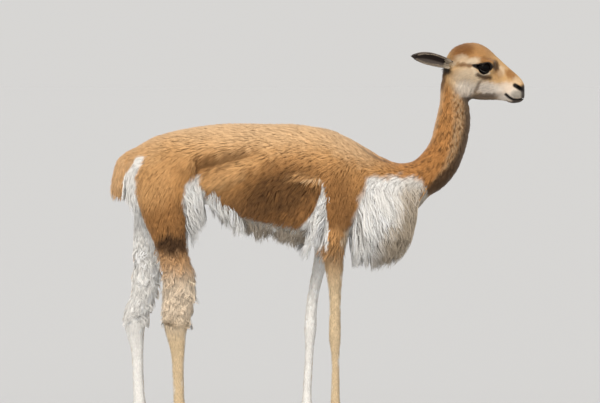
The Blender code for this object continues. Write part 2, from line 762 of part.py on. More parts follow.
def belly_locks(barrel, draw):
    """Hair that hangs from the belly, and along the edge of each flank before the thigh."""
    tree = surface(barrel)
    walls = ((Vector((CROUP_X, 0, 0)), Vector((1, 0, 0))), (Vector((GIRTH_X, 0, 0)), Vector((-1, 0, 0))))
    made = []
    for column in range(BELLY_COLUMNS):
        for row, y in enumerate(BELLY_ROWS):
            x = BELLY_START - (column + 0.5 * (row % 2)) * BELLY_STEP
            x += draw.uniform(-0.006, 0.006)
            low = draw.uniform(*BELLY_LOW)
            made.append(hanging(tree, x, y, low, draw.uniform(*BELLY_LOCK_WIDTH), draw, walls))
    skirt = [
        (SKIRT_START - column * SKIRT_STEP, SKIRT_Z, SKIRT_LENGTH) for column in range(SKIRT_COLUMNS)
    ]
    for side, _ in SIDES:
        for x, z, length in (*skirt, *FLANK_LOCKS):
            origin = Vector((x, side * 0.3, z))
            root, normal, _, _ = tree.ray_cast(origin, Vector((0, -side, 0)))
            lie = Vector((-0.10 + draw.uniform(-0.1, 0.1), -side * 0.22, -1))
            long = length * draw.uniform(0.9, 1.05)
            made.append(lock(root, normal, lie, long, FLANK_LOCK_WIDTH, draw, walls=walls))
    return made


def armpit_locks(chest, draw):
    """The tufts behind each elbow."""
    tree = surface(chest)
    walls = (
        (Vector((GIRTH_X, 0, 0)), Vector((1, 0, 0))),
        (Vector((ARMPIT_FRONT, 0, 0)), Vector((-1, 0, 0))),
    )
    lie, across = Vector((0, 0, -1)), Vector((0.2, 1, 0))
    made = []
    for side, _ in SIDES:
        for y in ARMPIT_PLACES:
            root, normal, _, _ = tree.ray_cast(Vector((ARMPIT_X, side * y, 0.30)), Vector((0, 0, 1)))
            long = root.z - draw.uniform(*ARMPIT_LOW)
            made.append(lock(root, normal, lie, long, ARMPIT_LOCK_WIDTH, draw, across, walls))
    return made


def leg_locks(obj, rows, side, tiers, turns, walls, draw):
    """Locks round a leg: tiers of height and length, turned round from the front by each angle."""
    tree, made = surface(obj), []
    for tier, (z, length) in enumerate(tiers):
        for k, turn in enumerate(turns):
            angle = math.radians(turn + (18 if tier % 2 else -18) + draw.uniform(-8, 8))
            height = z + draw.uniform(-0.010, 0.010)
            _, rear, front, y, _ = min(rows, key=lambda row: abs(row[0] - height))
            aim = Vector(((rear + front) / 2, side * y, height))
            origin = aim + Vector((math.cos(angle), math.sin(angle), 0)) * 0.1
            root, normal, _, _ = tree.ray_cast(origin, aim - origin)
            if root is None:
                continue
            lie = Vector((-0.12 + 0.10 * math.cos(angle), 0.06 * math.sin(angle), -1))
            long = length * draw.uniform(0.85, 1.1)
            width = draw.uniform(*LEG_LOCK_WIDTH)
            made.append(lock(root, normal, lie, long, width, draw, walls=walls))
    return made


def groin_locks(thigh, side, walls, draw):
    """The white fan of hair over the front edge of the thigh."""
    tree, made = surface(thigh), []
    for x, z in GROIN_LOCKS:
        root, normal, _, _ = tree.ray_cast(Vector((x, side * 0.3, z)), Vector((0, -side, 0)))
        if root is None:
            continue
        lie = Vector((draw.uniform(-0.05, 0.12), 0, -1))
        long = GROIN_LENGTH * draw.uniform(0.9, 1.1)
        made.append(lock(root, normal, lie, long, GROIN_LOCK_WIDTH, draw, walls=walls))
    return made


def tail_locks(tail, draw):
    """The tail's hair, out to its outline."""
    tree, made = surface(tail), []
    walls = ((Vector((TAIL_X, 0, 0)), Vector((-1, 0, 0))),)
    for tier, (x, z, length, lean) in enumerate(TAIL_TIERS):
        for turn in TAIL_TURNS:
            angle = math.radians(turn + (12 if tier % 2 else -12))
            aim = Vector((x, 0, z))
            origin = aim + Vector((math.cos(angle), math.sin(angle), 0.15)) * 0.1
            root, normal, _, _ = tree.ray_cast(origin, aim - origin)
            if root is None:
                continue
            lie = Vector((lean, 0.05 * math.sin(angle), -1))
            long = length * draw.uniform(0.9, 1.08)
            made.append(lock(root, normal, lie, long, TAIL_LOCK_WIDTH, draw, walls=walls))
    return made


def material(name, colour, roughness):
    made = bpy.data.materials.new(name)
    made.use_nodes = True
    shader = made.node_tree.nodes["Principled BSDF"]
    shader.inputs["Base Color"].default_value = (*colour, 1)
    shader.inputs["Roughness"].default_value = roughness
    made.diffuse_color = (*colour, 1)
    return made


def main():
    removed(list(bpy.data.objects))

    # One skin over the whole animal, cut fine for the head and coarser for all the rest
    skin = body()
    rest = thinned(copied(skin, "rest"), REST_TRIANGLES / (2 * len(skin.data.polygons)))
    poll, forwards = Vector((0.335, 0, 0.955)), Vector((0.73, 0, 0.68)).normalized()
    head = sliced(skin, poll - forwards * 0.015, forwards)
    head.name = "head"
    thinned(head, HEAD_TRIANGLES / (2 * len(head.data.polygons)))
    sliced(head, poll, forwards)
    sliced(rest, poll, -forwards)

    legs = parted(rest, "legs", (0, 0, LEG_TOP), (0, 0, -1))
    neck = parted(rest, "neck", *NECK_BASE)
    hindquarters = parted(rest, "hindquarters", (CROUP_X, 0, 0), (-1, 0, 0))
    chest = parted(rest, "chest", (GIRTH_X, 0, 0), (1, 0, 0))
    barrel = rest
    barrel.name = "barrel"
    thighs = []
    for side, label in SIDES:
        thighs.append(parted(hindquarters, f"thigh_{label}", *thigh_plane(side)))
    tail = parted(hindquarters, "tail", (TAIL_X, 0, 0), (-1, 0, 0))

    draw = random.Random(LOCK_SEED)
    leg_parts = []
    fore_legs = parted(legs, "fore_legs", (-0.15, 0, 0), (1, 0, 0))
    for pair, upper, lower, height, tables in (
        (fore_legs, "forearm", "fore_cannon", KNEE_Z, (RIGHT_FORE, LEFT_FORE)),
        (legs, "shank", "hind_cannon", HOCK_Z, (RIGHT_HIND, LEFT_HIND)),
    ):
        left = parted(pair, "left", (0, 0, 0), (0, 1, 0))
        for (side, label), whole, rows in zip(SIDES, (pair, left), tables):
            sliced(whole, (0, 0, ANKLE_Z), (0, 0, 1))
            top = parted(whole, f"{upper}_{label}", (0, 0, height), (0, 0, 1))
            whole.name = f"{lower}_{label}"
            leg_parts += [top, whole]
            leg_parts += foot_pieces(f"{'fore' if pair is fore_legs else 'hind'}_{label}", rows, side)
            if pair is legs:
                walls = (
                    (Vector((0, 0, LEG_TOP)), Vector((0, 0, -1))),
                    (Vector((0, 0, HOCK_Z)), Vector((0, 0, 1))),
                )
                locks = leg_locks(top, rows, side, SHANK_TIERS, SHANK_TURNS, walls, draw)
                largest_body(united(top, locks))

    # Long hair, each lock rooted in the piece that it grows from
    united(chest, [bib_core()])
    largest_body(united(chest, bib_locks(chest, draw) + armpit_locks(chest, draw)))
    largest_body(united(barrel, belly_locks(barrel, draw)))
    largest_body(united(tail, tail_locks(tail, draw)))
    for (side, _), thigh, rows in zip(SIDES, thighs, (RIGHT_HIND, LEFT_HIND)):
        walls = (
            (Vector((CROUP_X, 0, 0)), Vector((-1, 0, 0))),
            (Vector((0, 0, LEG_TOP)), Vector((0, 0, 1))),
            thigh_plane(side),
        )
        locks = groin_locks(thigh, side, walls, draw)
        locks += leg_locks(thigh, rows, side, THIGH_TIERS, THIGH_TURNS, walls, draw)
        largest_body(united(thigh, locks))

    face_parts = []
    free_of_head = grown(head, "free_of_head", GAP * 1.2)
    for side, label in SIDES:
        root = mirrored(EAR_ROOT, side)
        blade = boolean(ear(f"ear_{label}", side), free_of_head, "DIFFERENCE", keep_other=True)
        bulb = ellipsoid("ear_root", root, [EAR_ROOT_RADIUS] * 3, segments=12)
        seat = ellipsoid("ear_seat", root, [EAR_ROOT_RADIUS + GAP] * 3, segments=12)
        face_parts.append(largest_body(united(blade, [bulb])))
        boolean(head, seat, "DIFFERENCE")
        face_parts.append(ellipsoid(f"eye_{label}", mirrored(EYE_PLACE, side), [EYE_RADIUS] * 3, segments=16))
    removed([free_of_head])
    head_details(head)

    pieces = [head, neck, chest, barrel, hindquarters, tail, *thighs, *leg_parts, *face_parts]
    finishes = {
        "coat_tan": material("coat_tan", (0.42, 0.25, 0.13), 0.9),
        "coat_white": material("coat_white", (0.72, 0.66, 0.56), 0.9),
        "coat_grey": material("coat_grey", (0.20, 0.17, 0.15), 0.9),
        "eye": material("eye", (0.02, 0.015, 0.012), 0.15),
        "nail": material("nail", (0.07, 0.055, 0.045), 0.45),
    }
    starts = (
        (("eye_",), "eye"),
        (("nail_",), "nail"),
        (("ear_",), "coat_grey"),
        (("chest", "shank_", "forearm_", "fore_cannon_", "hind_cannon_", "foot_"), "coat_white"),
    )
    for piece in pieces:
        named = [finish for words, finish in starts if piece.name.startswith(words)]
        piece.data.materials.clear()
        piece.data.materials.append(finishes[named[0] if named else "coat_tan"])


main()
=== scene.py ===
"""The looks of the vicuna: one skin under a coat of modelled tufts and locks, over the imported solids.

Metres, +Z up, the head to +X and the animal's right side, which the camera sees, at -Y.
"""

import math

import bmesh
import bpy
import numpy as np
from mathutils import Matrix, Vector
from mathutils.kdtree import KDTree


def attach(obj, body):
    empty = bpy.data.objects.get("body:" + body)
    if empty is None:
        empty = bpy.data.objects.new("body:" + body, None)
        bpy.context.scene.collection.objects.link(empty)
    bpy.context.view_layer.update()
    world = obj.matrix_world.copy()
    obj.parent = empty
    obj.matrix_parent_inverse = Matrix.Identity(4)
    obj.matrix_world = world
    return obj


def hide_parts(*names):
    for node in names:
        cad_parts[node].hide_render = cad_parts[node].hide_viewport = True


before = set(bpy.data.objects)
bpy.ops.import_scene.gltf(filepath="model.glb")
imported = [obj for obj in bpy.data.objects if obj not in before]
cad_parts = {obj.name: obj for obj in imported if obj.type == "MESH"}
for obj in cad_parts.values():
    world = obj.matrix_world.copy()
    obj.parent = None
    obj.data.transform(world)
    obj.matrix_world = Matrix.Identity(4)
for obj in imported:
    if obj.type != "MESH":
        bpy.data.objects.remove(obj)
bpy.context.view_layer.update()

# Driving sizes of the body, the same as those of the solids
LEG_TOP = 0.515
MID_X = -0.15  # between the fore and the hind legs
SOLE_Z = 0.0006
GIRTH_X = -0.030
CROUP_X = -0.300
TAIL_X = -0.5005
TOE_SPREAD = 0.0135
EYE_RADIUS = 0.0200
LID_THICKNESS = 0.0018
EYE_PLACE = Vector((0.4385, 0.0375, 0.9795))
EAR_ROOT = Vector((0.3545, 0.033, 0.9915))
EAR_LENGTH = 0.110
EAR_WIDTH = 0.0290
EAR_WALL = 0.0020
EAR_OPEN = 105  # half the angle round which the ear's wall goes, in degrees
EAR_END = 0.995  # the share of its length at which the ear's tip is closed
SIDES = ((-1, "right"), (1, "left"))
HEAD_PLANE = ((0.335, 0.955), (0.73, 0.68))
NECK_PLANE = ((0.208, 0.732), (0.70, 0.715))

# Driving sizes of the looks
TRUNK_VOXEL = 0.0080
SKIN_VOXEL = 0.0026
SKIN_FACES = 60000  # triangles of the skin behind the head
COAT_SEED = 11
COAT_SHARE = 1.0  # of the tufts, while trying things
BAKE_PATCH = 0.003  # a tuft's patch on the unwrapped skin
PIECE_LIMIT = 199000  # triangles in one piece
STRAND_RIDGE = 0.42  # height of a strand's ridge as a share of its width
LID_STEPS = 48
UNROLL_PARTS = 12  # of the middle line a coat is unrolled round
PATCH_EDGE = 0.9  # how soft the edge of a patch is, as a share of its radii
EAR_FUR = 1800  # tufts on the outside of an ear
CAMERA_DISTANCE = 14.0
CAMERA_ELEVATION = 2.0
VIEW_WIDTH = 1.579
VIEW_CENTRE = (-0.042, 0.0, 0.628)
SENSOR = 36.0
CAMERA_CLIP = (0.1, 400)
FLOOR_RADIUS = 70.0
FLOOR_COLOUR = (0.5497, 0.5586, 0.5731, 1)  # looks like the sky where they meet
SKY_COLOUR = (0.68, 0.67, 0.655, 1)

# Trunk sections: x, height of the back, height of the belly, half width
TRUNK = (
    (-0.506, 0.728, 0.645, 0.028),
    (-0.492, 0.756, 0.628, 0.060),
    (-0.462, 0.780, 0.618, 0.090),
    (-0.410, 0.804, 0.614, 0.112),
    (-0.330, 0.824, 0.620, 0.122),
    (-0.285, 0.830, 0.618, 0.127),
    (-0.240, 0.8345, 0.598, 0.132),
    (-0.185, 0.8355, 0.568, 0.138),
    (-0.130, 0.8345, 0.548, 0.142),
    (-0.030, 0.831, 0.532, 0.140),
    (0.060, 0.811, 0.530, 0.129),
    (0.130, 0.773, 0.545, 0.110),
    (0.190, 0.738, 0.572, 0.086),
    (0.238, 0.712, 0.604, 0.058),
    (0.266, 0.684, 0.640, 0.022),
)

# Neck sections: the upper point x, z and the lower point x, z of each, and its half width
NECK = (
    (0.060, 0.790, 0.180, 0.560, 0.100),
    (0.135, 0.763, 0.232, 0.580, 0.092),
    (0.180, 0.744, 0.268, 0.607, 0.078),
    (0.221, 0.731, 0.302, 0.642, 0.063),
    (0.258, 0.739, 0.342, 0.671, 0.055),
    (0.287, 0.768, 0.377, 0.718, 0.050),
    (0.303, 0.798, 0.394, 0.764, 0.048),
    (0.311, 0.831, 0.405, 0.815, 0.046),
    (0.320, 0.869, 0.407, 0.863, 0.043),
    (0.3255, 0.905, 0.402, 0.906, 0.041),
    (0.3280, 0.945, 0.402, 0.935, 0.040),
    (0.3345, 0.985, 0.400, 0.960, 0.036),
)

# Head sections: x, top, bottom, half width at the brow, at the eye line and at the jaw,
# and how high the eye line lies, as a share of the section's height
HEAD = (
    (0.339, 0.993, 0.958, 0.009, 0.016, 0.010, 0.55),
    (0.348, 1.017, 0.930, 0.026, 0.036, 0.026, 0.56),
    (0.366, 1.036, 0.912, 0.035, 0.044, 0.034, 0.57),
    (0.387, 1.044, 0.900, 0.040, 0.048, 0.038, 0.57),
    (0.405, 1.047, 0.896, 0.042, 0.052, 0.038, 0.58),
    (0.425, 1.045, 0.895, 0.041, 0.055, 0.035, 0.59),
    (0.443, 1.038, 0.894, 0.037, 0.053, 0.031, 0.60),
    (0.460, 1.025, 0.894, 0.029, 0.044, 0.028, 0.58),
    (0.478, 1.008, 0.894, 0.022, 0.034, 0.026, 0.54),
    (0.497, 0.990, 0.892, 0.018, 0.028, 0.024, 0.50),
    (0.515, 0.974, 0.888, 0.016, 0.0255, 0.024, 0.46),
    (0.530, 0.961, 0.887, 0.015, 0.0250, 0.023, 0.44),
    (0.541, 0.949, 0.891, 0.013, 0.0215, 0.019, 0.44),
    (0.5485, 0.935, 0.900, 0.007, 0.0130, 0.012, 0.46),
)

# Swellings of the head, centre and radii: orbit, throat, cheek, nostril wing, lip and chin
FACE_SWELLINGS = (
    ((0.4385, 0.0360, 0.9800), (0.0340, 0.0200, 0.0265)),
    ((0.3980, 0.0000, 0.9120), (0.0260, 0.0300, 0.0200)),
    ((0.3900, 0.0220, 0.9330), (0.0360, 0.0210, 0.0320)),
    ((0.5330, 0.0140, 0.9330), (0.0135, 0.0110, 0.0115)),
    ((0.5340, 0.0095, 0.9095), (0.0140, 0.0130, 0.0125)),
    ((0.5190, 0.0040, 0.8945), (0.0170, 0.0120, 0.0085)),
)

# Sections of the tail's core: rear point x, z, front point x, z, and half width
TAIL = (
    (-0.470, 0.772, -0.462, 0.728, 0.028),
    (-0.500, 0.759, -0.482, 0.720, 0.032),
    (-0.522, 0.737, -0.494, 0.708, 0.033),
    (-0.534, 0.706, -0.497, 0.690, 0.032),
    (-0.538, 0.675, -0.498, 0.668, 0.030),
    (-0.536, 0.655, -0.500, 0.652, 0.024),
    (-0.528, 0.645, -0.506, 0.644, 0.012),
)

# Leg sections: height, rear edge, front edge, distance from the middle plane, half width
RIGHT_HIND = (
    (0.755, -0.445, -0.335, 0.055, 0.044),
    (0.700, -0.462, -0.315, 0.066, 0.056),
    (0.640, -0.467, -0.318, 0.072, 0.057),
    (0.590, -0.457, -0.326, 0.075, 0.051),
    (0.540, -0.436, -0.332, 0.078, 0.043),
    (0.500, -0.420, -0.330, 0.080, 0.038),
    (0.447, -0.406, -0.314, 0.080, 0.035),
    (0.395, -0.405, -0.312, 0.079, 0.034),
    (0.355, -0.407, -0.318, 0.078, 0.032),
    (0.316, -0.402, -0.330, 0.077, 0.027),
    (0.285, -0.396, -0.338, 0.076, 0.022),
    (0.250, -0.385, -0.342, 0.076, 0.0175),
    (0.160, -0.377, -0.345, 0.076, 0.0150),
    (0.100, -0.375, -0.342, 0.076, 0.0160),
    (0.070, -0.375, -0.336, 0.076, 0.0185),
    (0.045, -0.370, -0.330, 0.076, 0.0185),
)
LEFT_HIND = (
    (0.755, -0.445, -0.335, 0.055, 0.044),
    (0.700, -0.466, -0.318, 0.066, 0.056),
    (0.640, -0.478, -0.330, 0.072, 0.057),
    (0.590, -0.483, -0.348, 0.075, 0.051),
    (0.540, -0.486, -0.376, 0.078, 0.043),
    (0.500, -0.488, -0.397, 0.080, 0.038),
    (0.460, -0.486, -0.408, 0.080, 0.035),
    (0.420, -0.488, -0.412, 0.079, 0.034),
    (0.380, -0.493, -0.420, 0.078, 0.033),
    (0.350, -0.503, -0.430, 0.077, 0.030),
    (0.316, -0.511, -0.444, 0.076, 0.026),
    (0.285, -0.505, -0.452, 0.076, 0.022),
    (0.250, -0.494, -0.455, 0.076, 0.0175),
    (0.160, -0.486, -0.455, 0.076, 0.0150),
    (0.100, -0.484, -0.451, 0.076, 0.0160),
    (0.070, -0.484, -0.445, 0.076, 0.0185),
    (0.045, -0.479, -0.439, 0.076, 0.0185),
)
RIGHT_FORE = (
    (0.740, -0.005, 0.090, 0.065, 0.040),
    (0.670, 0.003, 0.114, 0.082, 0.041),
    (0.610, 0.010, 0.104, 0.084, 0.037),
    (0.560, 0.008, 0.090, 0.079, 0.033),
    (0.515, 0.006, 0.080, 0.072, 0.030),
    (0.470, 0.018, 0.075, 0.066, 0.025),
    (0.420, 0.028, 0.070, 0.063, 0.021),
    (0.360, 0.034, 0.066, 0.061, 0.018),
    (0.310, 0.033, 0.066, 0.060, 0.0180),
    (0.270, 0.033, 0.066, 0.060, 0.0185),
    (0.235, 0.038, 0.063, 0.060, 0.0155),
    (0.160, 0.039, 0.0630, 0.060, 0.0135),
    (0.100, 0.037, 0.065, 0.060, 0.0148),
    (0.070, 0.036, 0.071, 0.060, 0.0180),
    (0.045, 0.041, 0.077, 0.060, 0.0180),
)
LEFT_FORE = (
    (0.740, -0.005, 0.090, 0.065, 0.040),
    (0.670, -0.002, 0.112, 0.082, 0.041),
    (0.610, -0.002, 0.092, 0.084, 0.037),
    (0.560, -0.006, 0.074, 0.079, 0.033),
    (0.515, -0.008, 0.056, 0.072, 0.030),
    (0.468, -0.008, 0.036, 0.066, 0.025),
    (0.430, -0.014, 0.022, 0.063, 0.021),
    (0.380, -0.0225, 0.009, 0.061, 0.018),
    (0.325, -0.029, 0.003, 0.060, 0.0180),
    (0.285, -0.031, 0.002, 0.060, 0.0185),
    (0.250, -0.029, -0.003, 0.060, 0.0155),
    (0.160, -0.033, -0.009, 0.060, 0.0135),
    (0.100, -0.037, -0.010, 0.060, 0.0148),
    (0.070, -0.039, -0.004, 0.060, 0.0180),
    (0.045, -0.034, 0.002, 0.060, 0.0180),
)
LEGS = (
    ("hind_right", RIGHT_HIND, -1),
    ("hind_left", LEFT_HIND, 1),
    ("fore_right", RIGHT_FORE, -1),
    ("fore_left", LEFT_FORE, 1),
)

# Toe sections: distance ahead of the fetlock, top, bottom, half width
TOE = (
    (-0.024, 0.020, 0.008, 0.0060),
    (-0.018, 0.030, 0.001, 0.0100),
    (0.000, 0.037, 0.0005, 0.0118),
    (0.020, 0.033, 0.0005, 0.0120),
    (0.036, 0.024, 0.0005, 0.0105),
    (0.044, 0.018, 0.001, 0.0085),
)
NAIL = (
    (0.0410, 0.0172, 0.0012, 0.0068),
    (0.0460, 0.0162, 0.0008, 0.0072),
    (0.0520, 0.0138, 0.0006, 0.0062),
    (0.0580, 0.0098, 0.0008, 0.0046),
    (0.0612, 0.0066, 0.0012, 0.0030),
)

# The coat over the side view: x and z, the way it lies in x and z, then in millimetres its
# depth and the length and width of a tuft, and last the tufts on a square centimetre
COAT = (
    (0.546, 0.925, -1.00, 0.25, 0.3, 3, 1.08, 42.5),
    (0.535, 0.906, -1.00, -0.30, 0.4, 3.5, 1.08, 42.5),
    (0.520, 0.892, -1.00, -0.10, 0.6, 4, 1.22, 40),
    (0.510, 0.930, -1.00, -0.15, 0.7, 4.5, 1.22, 40),
    (0.515, 0.968, -0.90, 0.50, 0.7, 4.5, 1.22, 40),
    (0.490, 0.995, -0.80, 0.60, 0.9, 5.5, 1.35, 37.5),
    (0.480, 0.950, -1.00, -0.05, 1, 6, 1.35, 37.5),
    (0.438, 0.980, -1.00, 0.00, 0.7, 4, 1.22, 42.5),
    (0.466, 0.975, -1.00, 0.10, 0.9, 5, 1.35, 40),
    (0.465, 1.020, -0.80, 0.50, 2, 8, 1.62, 32.5),
    (0.430, 1.043, -1.00, 0.10, 3.4, 10, 1.89, 27.5),
    (0.395, 1.045, -1.00, -0.10, 4.4, 12, 2.03, 25),
    (0.358, 1.028, -0.80, -0.60, 4.6, 13, 2.03, 25),
    (0.405, 1.005, -1.00, -0.10, 2.2, 8, 1.62, 32.5),
    (0.400, 0.975, -1.00, -0.25, 2.2, 9, 1.62, 32.5),
    (0.420, 0.930, -1.00, -0.30, 2.2, 9, 1.62, 32.5),
    (0.440, 0.900, -1.00, -0.05, 2.2, 9, 1.62, 30),
    (0.400, 0.900, -0.60, -0.80, 4.5, 13, 2.03, 22.5),
    (0.340, 0.985, -0.30, -1.00, 5.5, 15, 1.34, 25.6),
    (0.335, 0.940, 0.05, -1.00, 7, 18, 1.51, 20.8),
    (0.395, 0.930, 0.00, -1.00, 6.5, 17, 1.51, 20.8),
    (0.330, 0.870, -0.08, -1.00, 8, 20, 1.68, 16),
    (0.400, 0.860, -0.02, -1.00, 7.5, 19, 1.68, 16),
    (0.315, 0.810, -0.20, -1.00, 9, 21, 1.68, 17.5),
    (0.395, 0.790, -0.25, -1.00, 8.5, 20, 1.68, 17.5),
    (0.285, 0.765, -0.50, -0.90, 9.5, 22, 1.76, 16),
    (0.370, 0.720, -0.50, -0.90, 9.5, 21, 1.76, 16),
    (0.235, 0.735, -0.90, -0.50, 9.5, 24, 1.85, 16),
    (0.320, 0.670, -0.60, -0.80, 9.5, 21, 1.85, 16),
    (0.180, 0.735, -0.95, -0.35, 9.5, 25, 1.93, 12.4),
    (0.120, 0.770, -0.97, -0.20, 9.9, 27, 1.93, 12),
    (0.060, 0.805, -1.00, -0.10, 12, 29, 2.02, 12.6),
    (0.100, 0.700, -0.60, -0.80, 9.8, 26, 1.93, 12.4),
    (0.055, 0.650, -0.35, -1.00, 8.4, 25, 1.93, 12.4),
    (0.050, 0.580, -0.15, -1.00, 7.7, 22, 1.85, 16),
    (0.180, 0.650, -0.30, -1.00, 12, 26, 1.93, 12.6),
    (-0.030, 0.825, -1.00, -0.05, 12.9, 31, 2.18, 10.6),
    (-0.240, 0.830, -1.00, -0.05, 13.7, 32, 2.18, 10.6),
    (-0.360, 0.810, -1.00, -0.20, 14.1, 31, 2.18, 10.6),
    (-0.450, 0.775, -0.80, -0.60, 11.0, 22, 2.0, 12.6),
    (-0.490, 0.757, -0.70, -0.75, 7.5, 14, 1.9, 16),
    (-0.050, 0.720, -0.75, -0.65, 14.6, 30, 2.18, 10.6),
    (-0.050, 0.620, -0.45, -0.90, 14, 30, 2.18, 10.6),
    (-0.180, 0.730, -0.80, -0.60, 14.3, 30, 2.18, 10.6),
    (-0.180, 0.620, -0.50, -0.85, 15, 32, 2.18, 10.6),
    (-0.280, 0.720, -0.70, -0.70, 12.5, 28, 2.1, 12.6),
    (-0.120, 0.545, -0.60, -0.50, 13, 30, 2.18, 10.4),
    (-0.380, 0.740, -0.60, -0.80, 10.6, 29, 2.1, 12.6),
    (-0.460, 0.690, -0.40, -0.90, 9.5, 27, 2.02, 12),
    (-0.380, 0.640, -0.30, -0.95, 9.2, 26, 2.02, 12),
    (-0.400, 0.560, -0.15, -1.00, 9, 24, 1.93, 12.4),
    (-0.370, 0.480, -0.10, -1.00, 9, 24, 2.3, 9),
    (-0.450, 0.480, -0.10, -1.00, 9, 24, 2.3, 9),
    (-0.360, 0.390, -0.05, -1.00, 9, 22, 2.2, 10),
    (-0.450, 0.390, -0.10, -1.00, 9, 22, 2.2, 10),
    (-0.365, 0.310, 0.00, -1.00, 4.5, 14, 2.61, 13),
    (-0.478, 0.310, 0.00, -1.00, 4.5, 14, 2.61, 13),
    (-0.362, 0.220, 0.00, -1.00, 2.4, 9, 1.89, 16),
    (-0.475, 0.220, 0.00, -1.00, 2.4, 9, 1.89, 16),
    (-0.360, 0.100, 0.00, -1.00, 2.4, 9, 1.89, 16),
    (-0.468, 0.100, 0.00, -1.00, 2.4, 9, 1.89, 16),
    (-0.350, 0.040, 0.40, -0.90, 1.4, 7, 1.59, 20),
    (-0.460, 0.040, 0.40, -0.90, 1.4, 7, 1.59, 20),
    (-0.320, 0.022, 0.90, -0.40, 1, 5, 1.45, 22),
    (-0.430, 0.022, 0.90, -0.40, 1, 5, 1.45, 22),
    (0.045, 0.510, 0.00, -1.00, 6, 17, 1.6, 16),
    (0.020, 0.430, 0.00, -1.00, 4, 12, 2.17, 12.6),
    (0.050, 0.430, 0.00, -1.00, 4, 12, 2.17, 12.6),
    (0.048, 0.320, 0.00, -1.00, 2.8, 10, 2.03, 15),
    (-0.010, 0.320, 0.00, -1.00, 2.8, 10, 2.03, 15),
    (0.050, 0.200, 0.00, -1.00, 2.2, 8, 1.89, 16),
    (-0.020, 0.200, 0.00, -1.00, 2.2, 8, 1.89, 16),
    (0.050, 0.100, 0.00, -1.00, 2.2, 8, 1.89, 16),
    (-0.022, 0.100, 0.00, -1.00, 2.2, 8, 1.89, 16),
    (0.060, 0.040, 0.40, -0.90, 1.4, 7, 1.59, 20),
    (-0.014, 0.040, 0.40, -0.90, 1.4, 7, 1.59, 20),
    (0.090, 0.022, 0.90, -0.40, 1, 5, 1.45, 22),
    (0.017, 0.022, 0.90, -0.40, 1, 5, 1.45, 22),
    (-0.528, 0.730, -0.30, -0.95, 5.5, 14, 1.9, 16),
    (-0.520, 0.665, -0.10, -1.00, 6, 20, 1.93, 14.4),
)
FIELD = np.array(COAT)
FIELD_NEAR = 0.006  # distance within which one row of the coat's table rules alone

# Folds of the flanks and shoulders in the side view: two ends, half width and height
FOLDS = (
    ((-0.300, 0.724), (-0.165, 0.758), 0.021, -0.011),
    ((-0.268, 0.676), (-0.125, 0.748), 0.018, 0.009),
    ((-0.313, 0.748), (-0.311, 0.690), 0.009, -0.009),
    ((-0.345, 0.720), (-0.352, 0.640), 0.022, 0.006),
    ((-0.290, 0.655), (-0.215, 0.590), 0.016, 0.007),
    ((0.019, 0.700), (0.006, 0.560), 0.011, -0.010),
    ((0.060, 0.740), (0.052, 0.600), 0.026, 0.006),
    ((-0.045, 0.690), (0.004, 0.672), 0.016, 0.006),
    ((-0.020, 0.580), (-0.180, 0.600), 0.022, 0.006),
)
# The same on the sides of the head: brow, cheek, the bag and lid under the eye, jaw and nose
FACE_FOLDS = (
    ((0.406, 0.992), (0.434, 1.000), 0.0060, 0.0024),
    ((0.434, 1.000), (0.466, 0.994), 0.0060, 0.0030),
    ((0.416, 0.918), (0.436, 0.942), 0.0050, -0.0018),
    ((0.436, 0.942), (0.470, 0.948), 0.0060, -0.0012),
    ((0.426, 0.957), (0.454, 0.953), 0.0035, -0.0016),
    ((0.424, 0.966), (0.458, 0.962), 0.0040, 0.0014),
    ((0.476, 0.975), (0.500, 0.948), 0.0080, -0.0020),
    ((0.478, 0.918), (0.505, 0.916), 0.0080, 0.0014),
    ((0.512, 0.912), (0.540, 0.908), 0.0055, 0.0014),
    ((0.505, 0.936), (0.515, 0.945), 0.0050, -0.0010),
    ((0.366, 0.984), (0.404, 0.984), 0.0060, -0.0014),
)

# The dark of an eye, from its middle forwards and up: the dark lids and, round them, painted shadow of the
# brow and lashes; and how much of it the lids leave open
EYE_SHAPE = (
    (-0.0400, 0.0082), (-0.0200, 0.0106), (-0.0080, 0.0128), (0.0010, 0.0152), (0.0110, 0.0160),
    (0.0190, 0.0112), (0.0242, 0.0020), (0.0186, -0.0048), (0.0098, -0.0096), (-0.0014, -0.0120),
    (-0.0126, -0.0086), (-0.0225, -0.0006),
)
OPENING = (0.68, 0.82)

# Edges of the coats in the side view. Belly, the top of the bib, crescent and flank are x and z.
BELLY_LINE = (
    (-0.345, 0.560), (-0.318, 0.690), (-0.300, 0.676), (-0.274, 0.634), (-0.239, 0.584), (-0.208, 0.556),
    (-0.150, 0.546), (-0.068, 0.546), (-0.045, 0.560), (-0.012, 0.602), (0.006, 0.646), (0.022, 0.682),
    (0.034, 0.560),
)
BIB_TOP = ((0.080, 0.640), (0.131, 0.694), (0.278, 0.690), (0.289, 0.664), (0.294, 0.640), (0.300, 0.60))
CRESCENT = (
    (-0.045, 0.678), (0.000, 0.684), (0.019, 0.672), (0.023, 0.640), (0.012, 0.600), (0.000, 0.560),
)
FLANK_EDGE = ((-0.300, 0.688), (-0.276, 0.655), (-0.246, 0.630), (-0.212, 0.602))
